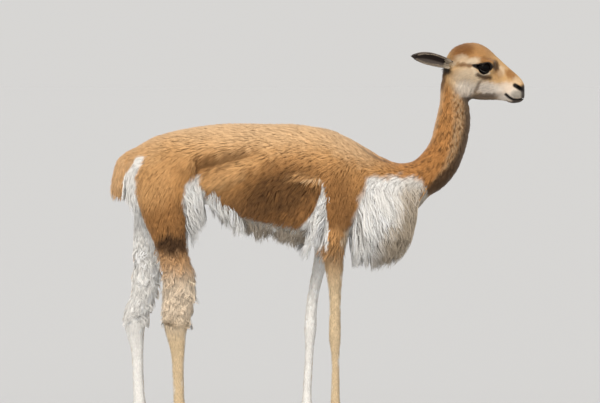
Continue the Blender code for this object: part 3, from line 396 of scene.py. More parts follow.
# The rest are z and x
BIB_LINE = ((0.479, 0.0816), (0.513, 0.084), (0.566, 0.0905), (0.605, 0.103), (0.645, 0.116), (0.689, 0.131))
BIB_FRONT = (
    (0.447, 0.195), (0.479, 0.228), (0.526, 0.252), (0.579, 0.264), (0.613, 0.267), (0.640, 0.278),
    (0.660, 0.294),
)
RUMP_LINE = (
    (0.500, -0.432), (0.547, -0.435), (0.584, -0.450), (0.635, -0.466), (0.695, -0.466), (0.748, -0.446),
)
RUMP_REAR = (
    (0.540, -0.520), (0.576, -0.496), (0.635, -0.505), (0.695, -0.500), (0.735, -0.474), (0.752, -0.456),
)
GROIN_FRONT = ((0.480, -0.285), (0.560, -0.285), (0.640, -0.297), (0.700, -0.305))
GROIN_LINE = (
    (0.500, -0.328), (0.547, -0.335), (0.584, -0.341), (0.642, -0.350), (0.676, -0.341), (0.700, -0.318),
)
TAIL_FRONT = ((0.500, -0.508), (0.640, -0.504), (0.695, -0.498), (0.735, -0.476), (0.760, -0.455))

# The line of the mouth, and the half width across and the height of its slit
MOUTH = ((0.4985, 0.9100), (0.5075, 0.9025), (0.518, 0.8965), (0.530, 0.8955), (0.556, 0.9010))
MOUTH_SLIT = (0.04, 0.0016)

# How deep the dark along the neck's front edge goes, by height: partly the neck's own dark fur, partly
# painted shade
DARK_EDGE = ((0.67, 0.050), (0.70, 0.044), (0.75, 0.026), (0.90, 0.018))

# Sections of the dense hair under the bib: height, rear, front, distance from the middle, half width
BIB_CORE = (
    (0.645, 0.150, 0.270, 0, 0.064),
    (0.605, 0.118, 0.254, 0, 0.082),
    (0.566, 0.110, 0.242, 0, 0.080),
    (0.540, 0.116, 0.224, 0, 0.064),
    (0.526, 0.140, 0.204, 0, 0.030),
)

# What strands() is told for hanging hair, unless the hair says otherwise
HANGING_LOOK = {
    "axis": 2, "clump": 12, "pull": 0.55, "wave": 0.003, "waves": 1.4, "sink": 0.002, "softness": 0.50,
    "shade": 0.07, "depth_tone": 0.8,
}

# Pale hair of an ear: tufts, their reach along and across it, length, spring and shares of grey
EAR_HAIR = (
    ("lower", 800, (0.02, 0.88), (-1.0, -0.50), 0.012, 0.30, (0.50, 1.0)),
    ("upper", 260, (0.05, 0.90), (0.90, 1.0), 0.007, 0.08, (0.55, 1.0)),
    ("root", 320, (0.00, 0.10), (-1.0, 1.0), 0.011, 0.60, (0.10, 0.80)),
)
LASHES = ((1, 90, 0.012), (-1, 40, 0.006))  # upper and lower, their number and length

# The wool material's inputs, and the iris from the pupil out
# Root tone is how dark the painted shade makes a strand at its root
WOOL_INPUTS = {
    "Colour": (0.5, 0.5, 0.5, 1), "Along": 1.0, "Strand": 0.0, "Root tone": 0.55, "Mottle": 0.16,
    "Bump": 0.25, "Grain": 420.0,
}
IRIS_STOPS = (
    (0.42, (0.0008, 0.0006, 0.0005)),
    (0.50, (0.0035, 0.0018, 0.0010)),
    (0.80, (0.0022, 0.0013, 0.0009)),
    (0.90, (0.0010, 0.0008, 0.0007)),
)

# Suns: the way to them, power, angle in degrees and colour
LIGHTS = (
    ("key", (-0.30, -0.70, 0.80), 1.88, 18, (1.0, 0.94, 0.85)),
    ("fill", (0.00, -0.96, 0.10), 0.62, 80, (0.98, 0.99, 1.0)),
    ("rear", (-0.80, -0.50, 0.12), 0.48, 60, (1.0, 0.98, 0.95)),
    ("front", (0.62, -0.78, 0.12), 0.42, 60, (0.98, 0.99, 1.0)),
)

# How far the coat falls open in clumps: amount, x, z, radii, turn in degrees, strength
OPEN_COAT = 0.30
OPEN_PATCHES = (
    (0.04, -0.10, 0.855, 0.46, 0.118, 0, 1.0),
    (0.08, 0.130, 0.780, 0.13, 0.050, -28, 1.0),
    (0.06, -0.410, 0.720, 0.10, 0.110, 0, 1.0),
    (0.18, 0.060, 0.680, 0.06, 0.120, 0, 1.0),
    (0.75, -0.085, 0.650, 0.125, 0.075, 15, 1.0),
    (0.45, 0.360, 0.840, 0.07, 0.150, 0, 1.0),
    (0.75, -0.410, 0.420, 0.12, 0.120, 0, 1.0),
    (0.15, -0.200, 0.130, 0.60, 0.150, 0, 1.0),
    (0.12, 0.450, 0.970, 0.11, 0.100, 0, 1.0),
)


def tint(red, green, blue):
    """A colour as the eye reads it, 0 to 255, as linear light."""
    return np.array([
        ((value / 255 + 0.055) / 1.055) ** 2.4 if value > 10 else value / 3295
        for value in (red, green, blue)
    ])


# The pale top of the coat: partly its own tone, partly painted sunlight
BACK = tint(232, 192, 146)
TAN = tint(218, 168, 112)
ORANGE = tint(200, 146, 88)
BROWN = tint(156, 108, 60)
DARK_BROWN = tint(98, 66, 34)
DEEP_BROWN = tint(70, 46, 24)
NECK_TAN = tint(188, 130, 72)
NECK_PALE = tint(188, 158, 122)
# Dark of the neck's front edge, partly its own fur and partly painted shade, and painted shade in the crease
# at the neck's root
NECK_DARK_AND_SHADE = tint(98, 78, 60)
CREAM = tint(226, 206, 178)
WHITE = tint(250, 247, 242)
SHADED_WHITE = tint(150, 130, 102)
FACE = tint(206, 164, 112)
CHEEK = tint(222, 202, 174)
MUZZLE = tint(232, 220, 206)
CROWN = tint(138, 90, 44)
FOREHEAD = tint(186, 134, 80)
SHANK = tint(234, 213, 187)
SHANK_TAN = tint(206, 154, 100)
LOWER_LEG = tint(222, 196, 158)
INK = tint(20, 14, 11)
LIP = tint(92, 84, 82)
# Painted shade along the underside of the lower jaw
JAW_SHADE = tint(112, 96, 82)
LIP_GREY = tint(140, 134, 124)
EAR_DARK = tint(46, 34, 30)
EAR_GREY = tint(108, 96, 88)
# White belly hair greyed by painted shade, as it hangs in the shadow under the belly
SHADED_BELLY_WHITE = tint(178, 164, 146)
TEMPLE = tint(122, 82, 46)
PAD = tint(58, 50, 46)

# Soft patches of colour in the side view: colour, x, z, radii, turn in degrees, strength
PATCHES = (
    # Paler back, withers and rump top: partly their own tone, partly painted sunlight on the upper surfaces
    (BACK, -0.10, 0.868, 0.42, 0.095, 0, 0.90),
    (BACK, 0.085, 0.795, 0.100, 0.050, -30, 0.85),
    (BACK, -0.445, 0.765, 0.050, 0.040, 40, 0.60),
    # Painted light on the ridge below the fold of the flank
    (TAN, -0.240, 0.705, 0.090, 0.030, 25, 0.70),
    # The dark lower flank: partly its own dark brown, partly painted shade under the barrel's bulge
    (BROWN, -0.085, 0.650, 0.120, 0.085, 14, 0.90),
    (DARK_BROWN, -0.105, 0.650, 0.095, 0.058, 20, 0.80),
    # Painted shade in the fold of the flank and in the small upright fold before the thigh, with painted
    # light on the ridge below the fold
    (BROWN, -0.285, 0.728, 0.030, 0.026, 0, 0.55),
    (DARK_BROWN, -0.238, 0.737, 0.080, 0.020, 14, 0.60),
    (TAN, -0.215, 0.703, 0.085, 0.014, 27, 0.60),
    (DARK_BROWN, -0.312, 0.712, 0.007, 0.034, 0, 0.70),
    (TAN, -0.020, 0.690, 0.050, 0.014, -8, 0.50),
    (BROWN, 0.055, 0.620, 0.046, 0.085, 0, 0.75),
    (TAN, 0.050, 0.530, 0.040, 0.035, 0, 0.45),
    (CREAM, 0.082, 0.528, 0.016, 0.028, 0, 0.80),
    (TAN, -0.430, 0.700, 0.060, 0.080, 0, 0.60),
    (BROWN, -0.400, 0.570, 0.065, 0.045, 8, 0.60),
    (DEEP_BROWN, -0.378, 0.519, 0.042, 0.030, 0, 0.95),
    (BACK, -0.520, 0.700, 0.030, 0.070, 0, 0.60),
)

# The same for the head
FACE_PATCHES = (
    (FOREHEAD, 0.410, 1.030, 0.060, 0.034, -8, 0.80),
    (CROWN, 0.386, 1.028, 0.027, 0.019, 0, 0.95),
    (CROWN, 0.366, 1.006, 0.012, 0.016, 0, 0.60),
    (CREAM, 0.383, 1.003, 0.017, 0.012, 0, 0.55),
    (CREAM, 0.412, 0.998, 0.019, 0.009, 12, 0.80),
    (BROWN, 0.447, 1.001, 0.020, 0.008, -10, 0.85),
    (CREAM, 0.356, 0.992, 0.012, 0.008, 0, 0.60),
    (CHEEK, 0.398, 0.950, 0.040, 0.034, 0, 0.80),
    (MUZZLE, 0.392, 0.922, 0.028, 0.024, 0, 0.75),
    (MUZZLE, 0.452, 0.925, 0.034, 0.018, -8, 0.90),
    # Painted shade along the lower jaw
    (JAW_SHADE, 0.450, 0.908, 0.036, 0.006, 0, 0.85),
    (JAW_SHADE, 0.436, 0.896, 0.052, 0.013, 0, 0.85),
    (CREAM, 0.486, 0.972, 0.011, 0.014, 0, 0.50),
    (MUZZLE, 0.500, 0.920, 0.030, 0.022, 0, 0.70),
    (MUZZLE, 0.500, 0.898, 0.020, 0.012, 0, 0.80),
    (MUZZLE, 0.530, 0.912, 0.020, 0.014, 0, 0.75),
    # Painted shade along the jaw's lower edge by the chin
    (JAW_SHADE, 0.495, 0.889, 0.030, 0.004, 0, 0.80),
    (LIP_GREY, 0.529, 0.911, 0.016, 0.011, 0, 0.85),
    (DEEP_BROWN, 0.4720, 0.984, 0.009, 0.015, 8, 0.92),
    (BROWN, 0.478, 0.965, 0.014, 0.010, -30, 0.45),
    (BROWN, 0.512, 0.962, 0.017, 0.010, -40, 0.90),
    (CREAM, 0.528, 0.946, 0.013, 0.009, -35, 0.38),
    (TEMPLE, 0.384, 0.989, 0.010, 0.006, 0, 0.60),
    (TEMPLE, 0.403, 0.986, 0.008, 0.005, 0, 0.50),
)

# The dark fur behind the ears and down the nape
NAPE_PATCHES = (
    (DARK_BROWN, 0.334, 0.948, 0.009, 0.030, -5, 0.85),
    (INK, 0.3435, 0.975, 0.013, 0.011, -20, 0.95),
)

# Drawn lines: colour, half width, strength and the points x, z on their way
LINES = (
    # Painted shade in the crease at the root of the neck
    (NECK_DARK_AND_SHADE, 0.0028, 0.60,
     ((0.109, 0.772), (0.134, 0.752), (0.172, 0.7316), (0.210, 0.7215), (0.234, 0.7226))),
    (BACK, 0.0036, 0.80, ((-0.034, 0.681), (-0.010, 0.686), (0.012, 0.684))),
    (CREAM, 0.0032, 0.85, ((0.004, 0.686), (0.016, 0.680), (0.023, 0.664), (0.023, 0.640))),
)
FACE_LINES = (
    (TEMPLE, 0.0046, 0.42, ((0.374, 0.987), (0.388, 0.986), (0.406, 0.986))),
    (CREAM, 0.0036, 1.0,
     ((0.411, 0.9790), (0.4175, 0.9680), (0.4284, 0.9620), (0.4415, 0.9622), (0.4524, 0.9665))),
    # Painted shade in the crease of the bag under the eye
    (DEEP_BROWN, 0.0058, 0.90, ((0.4240, 0.9625), (0.4310, 0.9575), (0.4420, 0.9545), (0.4550, 0.9545))),
    # Painted shade in the furrow of the cheek
    (DARK_BROWN, 0.0036, 0.65, ((0.4306, 0.9436), (0.4240, 0.9305), (0.4153, 0.9152))),
)


def clear_start_scene():
    """Blender's own cube, light and camera aren't wanted."""
    for name in ("Cube", "Light", "Camera"):
        if name in bpy.data.objects:
            bpy.data.objects.remove(bpy.data.objects[name])


def eased(rows, steps):
    """The rows with steps - 1 more between each pair, on a smooth curve through them all."""
    spans = [max(math.dist(a[:-1], b[:-1]), 1e-6) for a, b in zip(rows, rows[1:])]
    slopes = [[(b - a) / span for a, b in zip(p, q)] for p, q, span in zip(rows, rows[1:], spans)]
    last = len(rows) - 1
    turns = []
    for i in range(last + 1):
        before, after = max(i - 1, 0), min(i, last - 1)
        share = spans[before] / (spans[before] + spans[after])
        turns.append([a + (b - a) * share for a, b in zip(slopes[before], slopes[after])])
    made = []
    for i in range(last):
        for step in range(steps):
            t = step / steps
            near, far = (1 + 2 * t) * (1 - t) ** 2, t * t * (3 - 2 * t)
            leave, reach = t * (1 - t) ** 2 * spans[i], t * t * (t - 1) * spans[i]
            made.append(
                tuple(
                    a * near + b * far + ta * leave + tb * reach
                    for a, b, ta, tb in zip(rows[i], rows[i + 1], turns[i], turns[i + 1])
                )
            )
    return [*made, tuple(rows[-1])]


def section(first, second, y, half_width, fullness=2.2, count=32):
    """A rounded ring round the line from first to second, two points x, z of the plane at y."""
    a, b = Vector((first[0], y, first[1])), Vector((second[0], y, second[1]))
    middle, along = (a + b) / 2, (a - b) / 2
    across = Vector((0, half_width, 0))
    ring = []
    for k in range(count):
        turn = 2 * math.pi * k / count
        c, s = math.cos(turn), math.sin(turn)
        wide = math.copysign(abs(c) ** (2 / fullness), c)
        high = math.copysign(abs(s) ** (2 / fullness), s)
        ring.append(middle + across * wide + along * high)
    return ring


def head_section(x, top, bottom, brow, cheek, jaw, level, count=48):
    """A ring of the head, on a closed curve through its top, brows, cheeks, jaws and bottom."""
    middle = bottom + (top - bottom) * level
    half = [
        (0.0, top),
        (brow, middle + (top - middle) * 0.72),
        (cheek, middle),
        (jaw, middle - (middle - bottom) * 0.66),
        (0.0, bottom),
    ]
    knots = half + [(-y, z) for y, z in half[-2:0:-1]]
    ring = []
    for k in range(count):
        place = k * len(knots) / count
        i, t = int(place), place % 1
        p = [knots[(i + j) % len(knots)] for j in (-1, 0, 1, 2)]
        y, z = (
            0.5 * (2 * b + (c - a) * t + (2 * a - 5 * b + 4 * c - d) * t * t
                   + (3 * b - a - 3 * c + d) * t ** 3)
            for a, b, c, d in zip(*p)
        )
        ring.append(Vector((x, y, z)))
    return ring


def mirrored(point, side):
    """The point, given for the left side, on the side +1 (left) or -1 (right)."""
    return Vector((point[0], side * point[1], point[2]))


def added(name, data):
    """A new object of the scene with that data."""
    obj = bpy.data.objects.new(name, data)
    bpy.context.scene.collection.objects.link(obj)
    return obj


def new_object(name, bm):
    """An object of the shape in bm, which is used up."""
    bmesh.ops.recalc_face_normals(bm, faces=bm.faces)
    mesh = bpy.data.meshes.new(name)
    bm.to_mesh(mesh)
    bm.free()
    return added(name, mesh)


def loft(name, rings):
    """One closed body drawn through the rings, which all have the same number of points."""
    bm = bmesh.new()
    ring = [bm.verts.new(point) for point in rings[0]]
    edges = [bm.edges.new((a, b)) for a, b in zip(ring, ring[1:] + ring[:1])]
    bm.faces.new(ring)
    for points in rings[1:]:
        place = {vert: i for i, vert in enumerate(ring)}
        grown = bmesh.ops.extrude_edge_only(bm, edges=edges)["geom"]
        for vert in [v for v in grown if isinstance(v, bmesh.types.BMVert)]:
            i = next(place[e.other_vert(vert)] for e in vert.link_edges if e.other_vert(vert) in place)
            vert.co = points[i]
            ring[i] = vert
        edges = [bm.edges.get((a, b)) for a, b in zip(ring, ring[1:] + ring[:1])]
    bm.faces.new(ring)
    return new_object(name, bm)


def applied(obj):
    """obj with its modifiers made part of its mesh."""
    graph = bpy.context.evaluated_depsgraph_get()
    mesh = bpy.data.meshes.new_from_object(obj.evaluated_get(graph))
    obj.modifiers.clear()
    old, obj.data = obj.data, mesh
    bpy.data.meshes.remove(old)
    return obj


def joined(name, objects):
    """The bodies of all the objects in one mesh, which still cross one another."""
    bm = bmesh.new()
    for obj in objects:
        bm.from_mesh(obj.data)
        bpy.data.objects.remove(obj)
    return new_object(name, bm)


def blended(obj, voxel, rounds):
    """Crossing bodies melted into one skin on a grid of that size, then smoothed."""
    remesh = obj.modifiers.new("Remesh", "REMESH")
    remesh.mode = "VOXEL"
    remesh.voxel_size = voxel
    smooth = obj.modifiers.new("Smooth", "SMOOTH")
    smooth.factor = 0.5
    smooth.iterations = rounds
    return applied(obj)


def cut(obj, other, operation="DIFFERENCE"):
    """obj cut by, or joined with, another closed body, which is used up."""
    modifier = obj.modifiers.new("Boolean", "BOOLEAN")
    modifier.operation = operation
    modifier.solver = "MANIFOLD"
    modifier.object = other
    applied(obj)
    bpy.data.objects.remove(other)
    return obj


def ellipsoid(name, centre, radii, turn=(0, 0, 0), segments=32):
    """A closed ball stretched to the three radii and turned by Euler angles."""
    bm = bmesh.new()
    bmesh.ops.create_uvsphere(bm, u_segments=segments, v_segments=segments // 2, radius=1)
    obj = new_object(name, bm)
    obj.scale = radii
    obj.rotation_euler = turn
    obj.location = centre
    bpy.context.view_layer.update()
    obj.data.transform(obj.matrix_world)
    obj.scale, obj.rotation_euler, obj.location = (1, 1, 1), (0, 0, 0), (0, 0, 0)
    return obj


def leg(name, rows, side, top=1.0, foot=0.0):
    """A leg, or the stretch of it between two heights, on the side +1 (left) or -1 (right).

    A stretch without the top of the leg grows thinner upwards, to run into the trunk without a step.
    """
    slimmed = []
    for z, rear, front, y, half in eased([row for row in rows if foot <= row[0] <= top], 4):
        share = 1.0 if top == 1.0 else float(np.interp(z, (0.45, top), (1.0, 0.80)))
        middle, reach = (front + rear) / 2, (front - rear) / 2 * share
        slimmed.append((z, middle - reach, middle + reach, y, half * share))
    return loft(name, level_rings(slimmed, side))


def level_rings(rows, side, fullness=2.3):
    """Level rings, from rows of height, rear edge, front edge, distance from the middle, half width."""
    return [section((front, z), (rear, z), side * y, half, fullness) for z, rear, front, y, half in rows]


def spine_body(name, rows, steps):
    """A body through sections of the middle plane, from rows of two points x, z and the half width."""
    return loft(name, [section(row[:2], row[2:4], 0, row[4]) for row in eased(rows, steps)])


def toe_bodies(name, table, rows, side, steps, fullness, count):
    """A body through the table's sections for each toe of the foot at the end of rows, with its place."""
    _, rear, front, y, _ = rows[-1]
    middle = (rear + front) / 2
    made = []
    for way in (-1, 1):
        across = side * y + way * TOE_SPREAD
        rings = [
            section((middle + ahead, high), (middle + ahead, low), across, wide, fullness, count)
            for ahead, high, low, wide in eased(table, steps)
        ]
        place = "inner" if way == -side else "outer"
        made.append((place, loft(f"{name}_{place}", rings)))
    return made


def foot_bodies(rows, side):
    """The pastern and the two toes of a foot."""
    _, rear, front, y, half = rows[-1]
    pastern = (
        rows[-2],
        rows[-1],
        (0.026, rear + 0.006, front + 0.008, y, half * 1.05),
        (0.014, rear + 0.012, front + 0.004, y, half * 0.85),
    )
    toes = toe_bodies("toe", TOE, rows, side, 3, 2.6, 32)
    return [loft("pastern", level_rings(pastern, side)), *(toe for _, toe in toes)]


def outline_body():
    """The animal out to the tips of its short coat, with the core only of its long hair."""
    torso = [section((x, top), (x, low), 0, half) for x, top, low, half in eased(TRUNK, 4)]
    trunk = [loft("torso", torso), spine_body("neck_root", NECK[:6], 4)]
    trunk += [leg(name, rows, side, foot=0.41) for name, rows, side in LEGS]
    pieces = [
        blended(joined("trunk", trunk), TRUNK_VOXEL, 16),
        spine_body("neck", NECK, 4),
        loft("skull", [head_section(*row) for row in eased(HEAD, 4)]),
        spine_body("tail_core", TAIL, 3),
    ]
    for name, rows, side in LEGS:
        pieces += [leg(name, rows, side, top=0.57), *foot_bodies(rows, side)]
    for side, _ in SIDES:
        pieces += [ellipsoid("swelling", mirrored(centre, side), radii) for centre, radii in FACE_SWELLINGS]
    return blended(joined("skin", pieces), SKIN_VOXEL, 4)


def vertex_values(mesh, field="co"):
    """The places of a mesh's vertices, or their normals with the field "normal", one to a row."""
    flat = np.empty(len(mesh.vertices) * 3)
    mesh.vertices.foreach_get(field, flat)
    return flat.reshape(-1, 3)


def placed(mesh, points):
    mesh.vertices.foreach_set("co", points.ravel())
    mesh.update()


def unit(vectors):
    return vectors / np.maximum(np.linalg.norm(vectors, axis=-1, keepdims=True), 1e-12)


def eased_step(value):
    """0 below 0, 1 above 1 and a smooth rise between."""
    t = np.clip(value, 0, 1)
    return t * t * (3 - 2 * t)


def soft(value, width):
    """A soft edge of that width, half way up where the value is 0."""
    return eased_step(value / width + 0.5)


def coat_at(points):
    """The rows of the coat's table blended for each point, without the first two columns."""
    made = []
    for part in np.array_split(points, max(1, len(points) // 40000)):
        gap = (part[:, None, 0] - FIELD[:, 0]) ** 2 + (part[:, None, 2] - FIELD[:, 1]) ** 2
        weight = 1 / (gap + FIELD_NEAR**2) ** 2
        made.append(weight @ FIELD[:, 2:] / weight.sum(1, keepdims=True))
    return np.concatenate(made)


def ripples(points, size, seed):
    """Smooth unevenness between about -1 and 1, with waves of about that size."""
    draw = np.random.default_rng(seed)
    total = np.zeros(len(points))
    for _ in range(7):
        way = unit(draw.normal(size=3)) * draw.uniform(0.7, 1.5)
        total += np.sin(points @ way * (2 * math.pi / size) + draw.uniform(0, 7))
    return total / 3


def along_line(points, a, b):
    """How far each point is from the line from a to b in the side view."""
    a, b = np.array(a), np.array(b)
    flat = points[:, (0, 2)] - a
    way = b - a
    share = np.clip(flat @ way / (way @ way), 0, 1)
    return np.linalg.norm(flat - share[:, None] * way, axis=1)


def way_gap(points, way):
    """How far each point is from a line of several stretches in the side view."""
    return np.minimum.reduce([along_line(points, a, b) for a, b in zip(way, way[1:])])


def read_off(table, value, key=0, column=1):
    """What a column of the table says at each value of its key column, whose numbers rise."""
    return np.interp(value, [row[key] for row in table], [row[column] for row in table])


def beyond(points, plane):
    """How far each point lies beyond a plane given by a point and a way in the side view."""
    (x, z), way = plane
    return ((points[:, 0] - x) * way[0] + (points[:, 2] - z) * way[1]) / math.hypot(*way)


def fold_height(points):
    """How far folds and hollows lift the flanks, the shoulders and the face."""
    total = np.zeros(len(points))
    reach = np.abs(points[:, 1])
    for table, where in (
        (FOLDS, eased_step((reach - 0.045) / 0.03) * (points[:, 2] > LEG_TOP)),
        (FACE_FOLDS, eased_step((reach - 0.008) / 0.008) * (beyond(points, HEAD_PLANE) > 0)),
    ):
        for a, b, half, height in table:
            total += height * np.exp(-((along_line(points, a, b) / half) ** 2)) * where
    return total


def ellipse(points, x, z, wide, high, turn):
    """1 inside an ellipse of the side view, falling softly to 0 over its edge."""
    c, s = math.cos(math.radians(turn)), math.sin(math.radians(turn))
    dx, dz = points[:, 0] - x, points[:, 2] - z
    reach = np.hypot((dx * c + dz * s) / wide, (dz * c - dx * s) / high)
    return 1 - soft(reach - 1, PATCH_EDGE)


def eye_frame(side):
    """The eye's middle and its ways outwards, forwards and up."""
    outwards = Vector((0.26, side, 0.05)).normalized()
    forward = Vector((1, -side * 0.26, 0.0)).normalized()
    up = outwards.cross(forward) * -side
    return mirrored(EYE_PLACE, side), outwards, forward, up


def eye_edge(turn, scale=(1.0, 1.0)):
    """How far the edge of the eye's shape is from its middle in the direction turn."""
    rim = np.array(EYE_SHAPE) * scale
    turns = np.linspace(-math.pi, math.pi, 97)
    reach = np.interp(turns, np.arctan2(rim[:, 1], rim[:, 0]), np.hypot(*rim.T), period=2 * math.pi)
    reach = np.convolve(np.tile(reach[:-1], 3), np.full(5, 0.2), "same")[96:193]
    return np.interp(turn, turns, reach)


def near_eye(points):
    """How far each point is from the nearer eye's middle: 1 at the lids' edge, and at the dark's edge."""
    inside = np.full(len(points), 9.0)
    dark = np.full(len(points), 9.0)
    for side in (-1, 1):
        here = (points[:, 1] * side > 0.02) & (points[:, 0] > 0.39) & (points[:, 2] > 0.94)
        if here.any():
            centre, _, forward, up = (np.array(v) for v in eye_frame(side))
            wide, high = (points[here] - centre) @ forward, (points[here] - centre) @ up
            turn, reach = np.arctan2(high, wide), np.hypot(wide, high)
            inside[here] = reach / eye_edge(turn, OPENING)
            dark[here] = reach / eye_edge(turn)
    return inside, dark


def leg_middle(points):
    """The distance of each leg's middle from the middle plane, at the points' height."""
    hind, fore = (read_off(rows[::-1], points[:, 2], 0, 3) for rows in (RIGHT_HIND, RIGHT_FORE))
    return np.where(points[:, 0] < MID_X, hind, fore)


def white_share(points):
    """How white the coat is: bib, belly, groin, rump and the inner sides of the legs."""
    x, y, z = points.T
    ragged = ripples(points, 0.022, 3) * 0.004
    belly = soft(read_off(BELLY_LINE, x) - z + ragged, 0.012)
    belly = belly * (x > BELLY_LINE[0][0]) * (x < BELLY_LINE[-1][0]) * soft(z - 0.512, 0.016)
    groin = soft(x - read_off(GROIN_LINE, z) + ragged, 0.014) * (z > 0.53)
    belly = np.maximum(belly, groin * soft(0.700 - z, 0.012) * soft(-0.300 - x, 0.010))
    bib = np.minimum(x - read_off(BIB_LINE, z), read_off(BIB_TOP, x) - z)
    bib = soft(bib + ragged, 0.020) * (x > 0.07) * (z > 0.40)
    rump = soft(read_off(RUMP_LINE, z) - x + ragged, 0.010) * soft(0.746 - z, 0.008) * (z > 0.49)
    rump = rump * soft(x - read_off(RUMP_REAR, z) + ragged, 0.008) * (x < -0.4)
    inner = soft(leg_middle(points) + 0.002 - np.abs(y) + ragged, 0.014)
    inner = inner * soft(np.where(x < MID_X, 0.60, 0.585) - z, 0.04) * (x < 0.12)
    return np.maximum.reduce([belly, bib, rump, inner])


def painted(colour, points, patches):
    """The colour, or the value, with the soft patches laid over it."""
    for tone, x, z, wide, high, turn, strength in patches:
        colour = mixed(colour, tone, ellipse(points, x, z, wide, high, turn) * strength)
    return colour


def pushed(points, size, amount):
    """The points pushed about in the side view, which makes the edges of painted patches uneven."""
    push = [ripples(points, size, 31), np.zeros(len(points)), ripples(points, size, 32)]
    return points + np.stack(push, axis=1) * amount


def drawn(colour, points, lines):
    """The colour with the soft lines laid over it."""
    for tone, half, strength, way in lines:
        colour = mixed(colour, tone, (1 - soft(way_gap(points, way) - half, half * 1.6)) * strength)
    return colour


def mixed(colour, tone, share):
    """The colour of each point with that share of the tone in it."""
    return colour + (tone - colour) * np.asarray(share)[:, None]


def markings(points):
    """The colour of the coat at each point, the same for skin, tufts and locks."""
    x, y, z = points.T
    on_head = soft(beyond(points, HEAD_PLANE) + 0.004, 0.030)
    on_neck = soft(beyond(points, NECK_PLANE) + 0.02, 0.080)

    # Trunk and legs: paler over the back, partly its own tone and partly painted sunlight, and browner low
    # on the flanks, partly its own colour and partly painted shade
    body = mixed(ORANGE, TAN, soft(z - 0.730, 0.110))
    body = mixed(body, BACK, soft(z - 0.795, 0.070) * 0.8)
    body = mixed(body, BROWN, soft(0.640 - z, 0.110) * 0.7)
    body = painted(body, pushed(points, 0.028, 0.006), PATCHES)
    streaks = np.stack([x * 0.87 - z * 0.50, y, (x * 0.50 + z * 0.87) * 0.3], axis=1)
    blotch = ripples(points, 0.035, 5) * 0.35 + ripples(streaks, 0.010, 6) * 0.65
    body = mixed(body, DARK_BROWN, np.clip(blotch - 0.25, 0, 1) * 0.5 * soft(0.74 - z, 0.10) * (z > LEG_TOP))
    lower = soft(0.495 - z + ripples(points, 0.02, 33) * 0.008, 0.030)
    body = mixed(body, mixed(SHANK, SHANK_TAN, soft(z - 0.440, 0.08) * 0.85), lower * (x < MID_X))
    body = mixed(body, mixed(LOWER_LEG, BROWN, soft(z - 0.44, 0.12) * 0.7), lower * (x > MID_X))
    body = mixed(body, LOWER_LEG, soft(0.30 - z, 0.10))
    body = mixed(body, BROWN, soft(0.055 - z, 0.04) * 0.35)

    # Neck: brown behind with painted rim light along its rear edge high up, greyer and speckled towards the
    # throat, and dark along its front edge, partly its own dark fur and partly painted shade
    speckle = ripples(points * (1, 1, 0.55), 0.009, 8)
    edge = read_off(NECK[2:], z, 3, 2) - x
    behind = x - read_off(NECK[3:], z, 1, 0)
    neck = mixed(NECK_TAN, ORANGE, soft(z - 0.80, 0.1) * 0.3)
    throat = (1 - soft(edge - 0.045, 0.020)) * (0.60 + 0.35 * speckle)
    neck = mixed(neck, NECK_PALE, np.clip(throat, 0, 0.95))
    neck = mixed(neck, DARK_BROWN, np.clip(-speckle - 0.25, 0, 1) * 0.85)
    # Painted rim light: a pale band along the neck's rear edge, high up
    neck = mixed(neck, BACK, (1 - soft(behind - 0.012, 0.014)) * 0.75 * soft(z - 0.76, 0.04))
    # The front edge: partly the neck's own dark fur, partly painted shade
    dark = mixed(DEEP_BROWN, NECK_DARK_AND_SHADE, soft(z - 0.745, 0.08))
    deep = read_off(DARK_EDGE, z)
    neck = mixed(neck, dark, (1 - soft(edge - deep, 0.014)) * 0.90 * soft(z - 0.650, 0.02))
    colour = mixed(body, neck, on_neck)
    colour = np.where(np.abs(y[:, None]) > 0.030, drawn(colour, points, LINES), colour)

    # Head
    face = painted(FACE, pushed(points, 0.012, 0.0014), FACE_PATCHES)
    face = drawn(face, pushed(points, 0.010, 0.0008), FACE_LINES)
    grey = ripples(points, 0.006, 9)
    face = mixed(face, LIP, np.clip(grey - 0.1, 0, 1) * 0.30 * ellipse(points, 0.42, 0.935, 0.06, 0.03, 0))
    # Painted shadow of the jaw on the throat
    face = mixed(face, JAW_SHADE * 0.5, ellipse(points, 0.396, 0.893, 0.024, 0.014, 0) * 0.85)
    colour = painted(mixed(colour, face, on_head), points, NAPE_PATCHES)

    # Bib, belly and the other white parts, with painted shade over the bib's lower front
    lower_bib_shade = soft(0.582 - z + np.clip(x - 0.19, -0.09, 0.045) * 2.0, 0.13) * (x > 0.07) * (z > 0.40)
    pale = mixed(WHITE, SHADED_WHITE, lower_bib_shade * 0.85)
    colour = mixed(colour, pale, white_share(points) * (1 - on_head))

    # Dark lids with painted shadow of the brow and lashes round them, nostrils, lips with painted shade in
    # the mouth's slit, and soles
    _, dark = near_eye(points)
    colour = mixed(colour, INK, 1 - soft(dark - 0.97, 0.16))
    colour = mixed(colour, INK, nostril_share(points))
    colour = mixed(colour, LIP * 0.35, lip_share(points) * 0.95)
    # Painted shade inside the mouth's slit
    colour = mixed(colour, INK, (1 - soft(way_gap(points, MOUTH) - 0.0016, 0.0012)) * (x > 0.49))
    return mixed(colour, PAD, soft(0.0035 - z, 0.003))


def nostril_share(points):
    """1 in and round the nostrils, 0 away from them."""
    reach = along_line(points, (0.5225, 0.9340), (0.5430, 0.9215))
    return (1 - soft(reach - 0.0060, 0.004)) * (np.abs(points[:, 1]) > 0.005)


def lip_share(points):
    """1 on the dark edges of the lips and the front of the nose."""
    x, _, z = points.T
    edge = 1 - soft(way_gap(points, MOUTH) - 0.0040, 0.0030)
    below = ellipse(points, 0.530, 0.8905, 0.019, 0.009, 8)
    front = soft(x - 0.5385, 0.008) * soft(0.936 - z, 0.010)
    return np.maximum.reduce([edge, below, front]) * (x > 0.49)


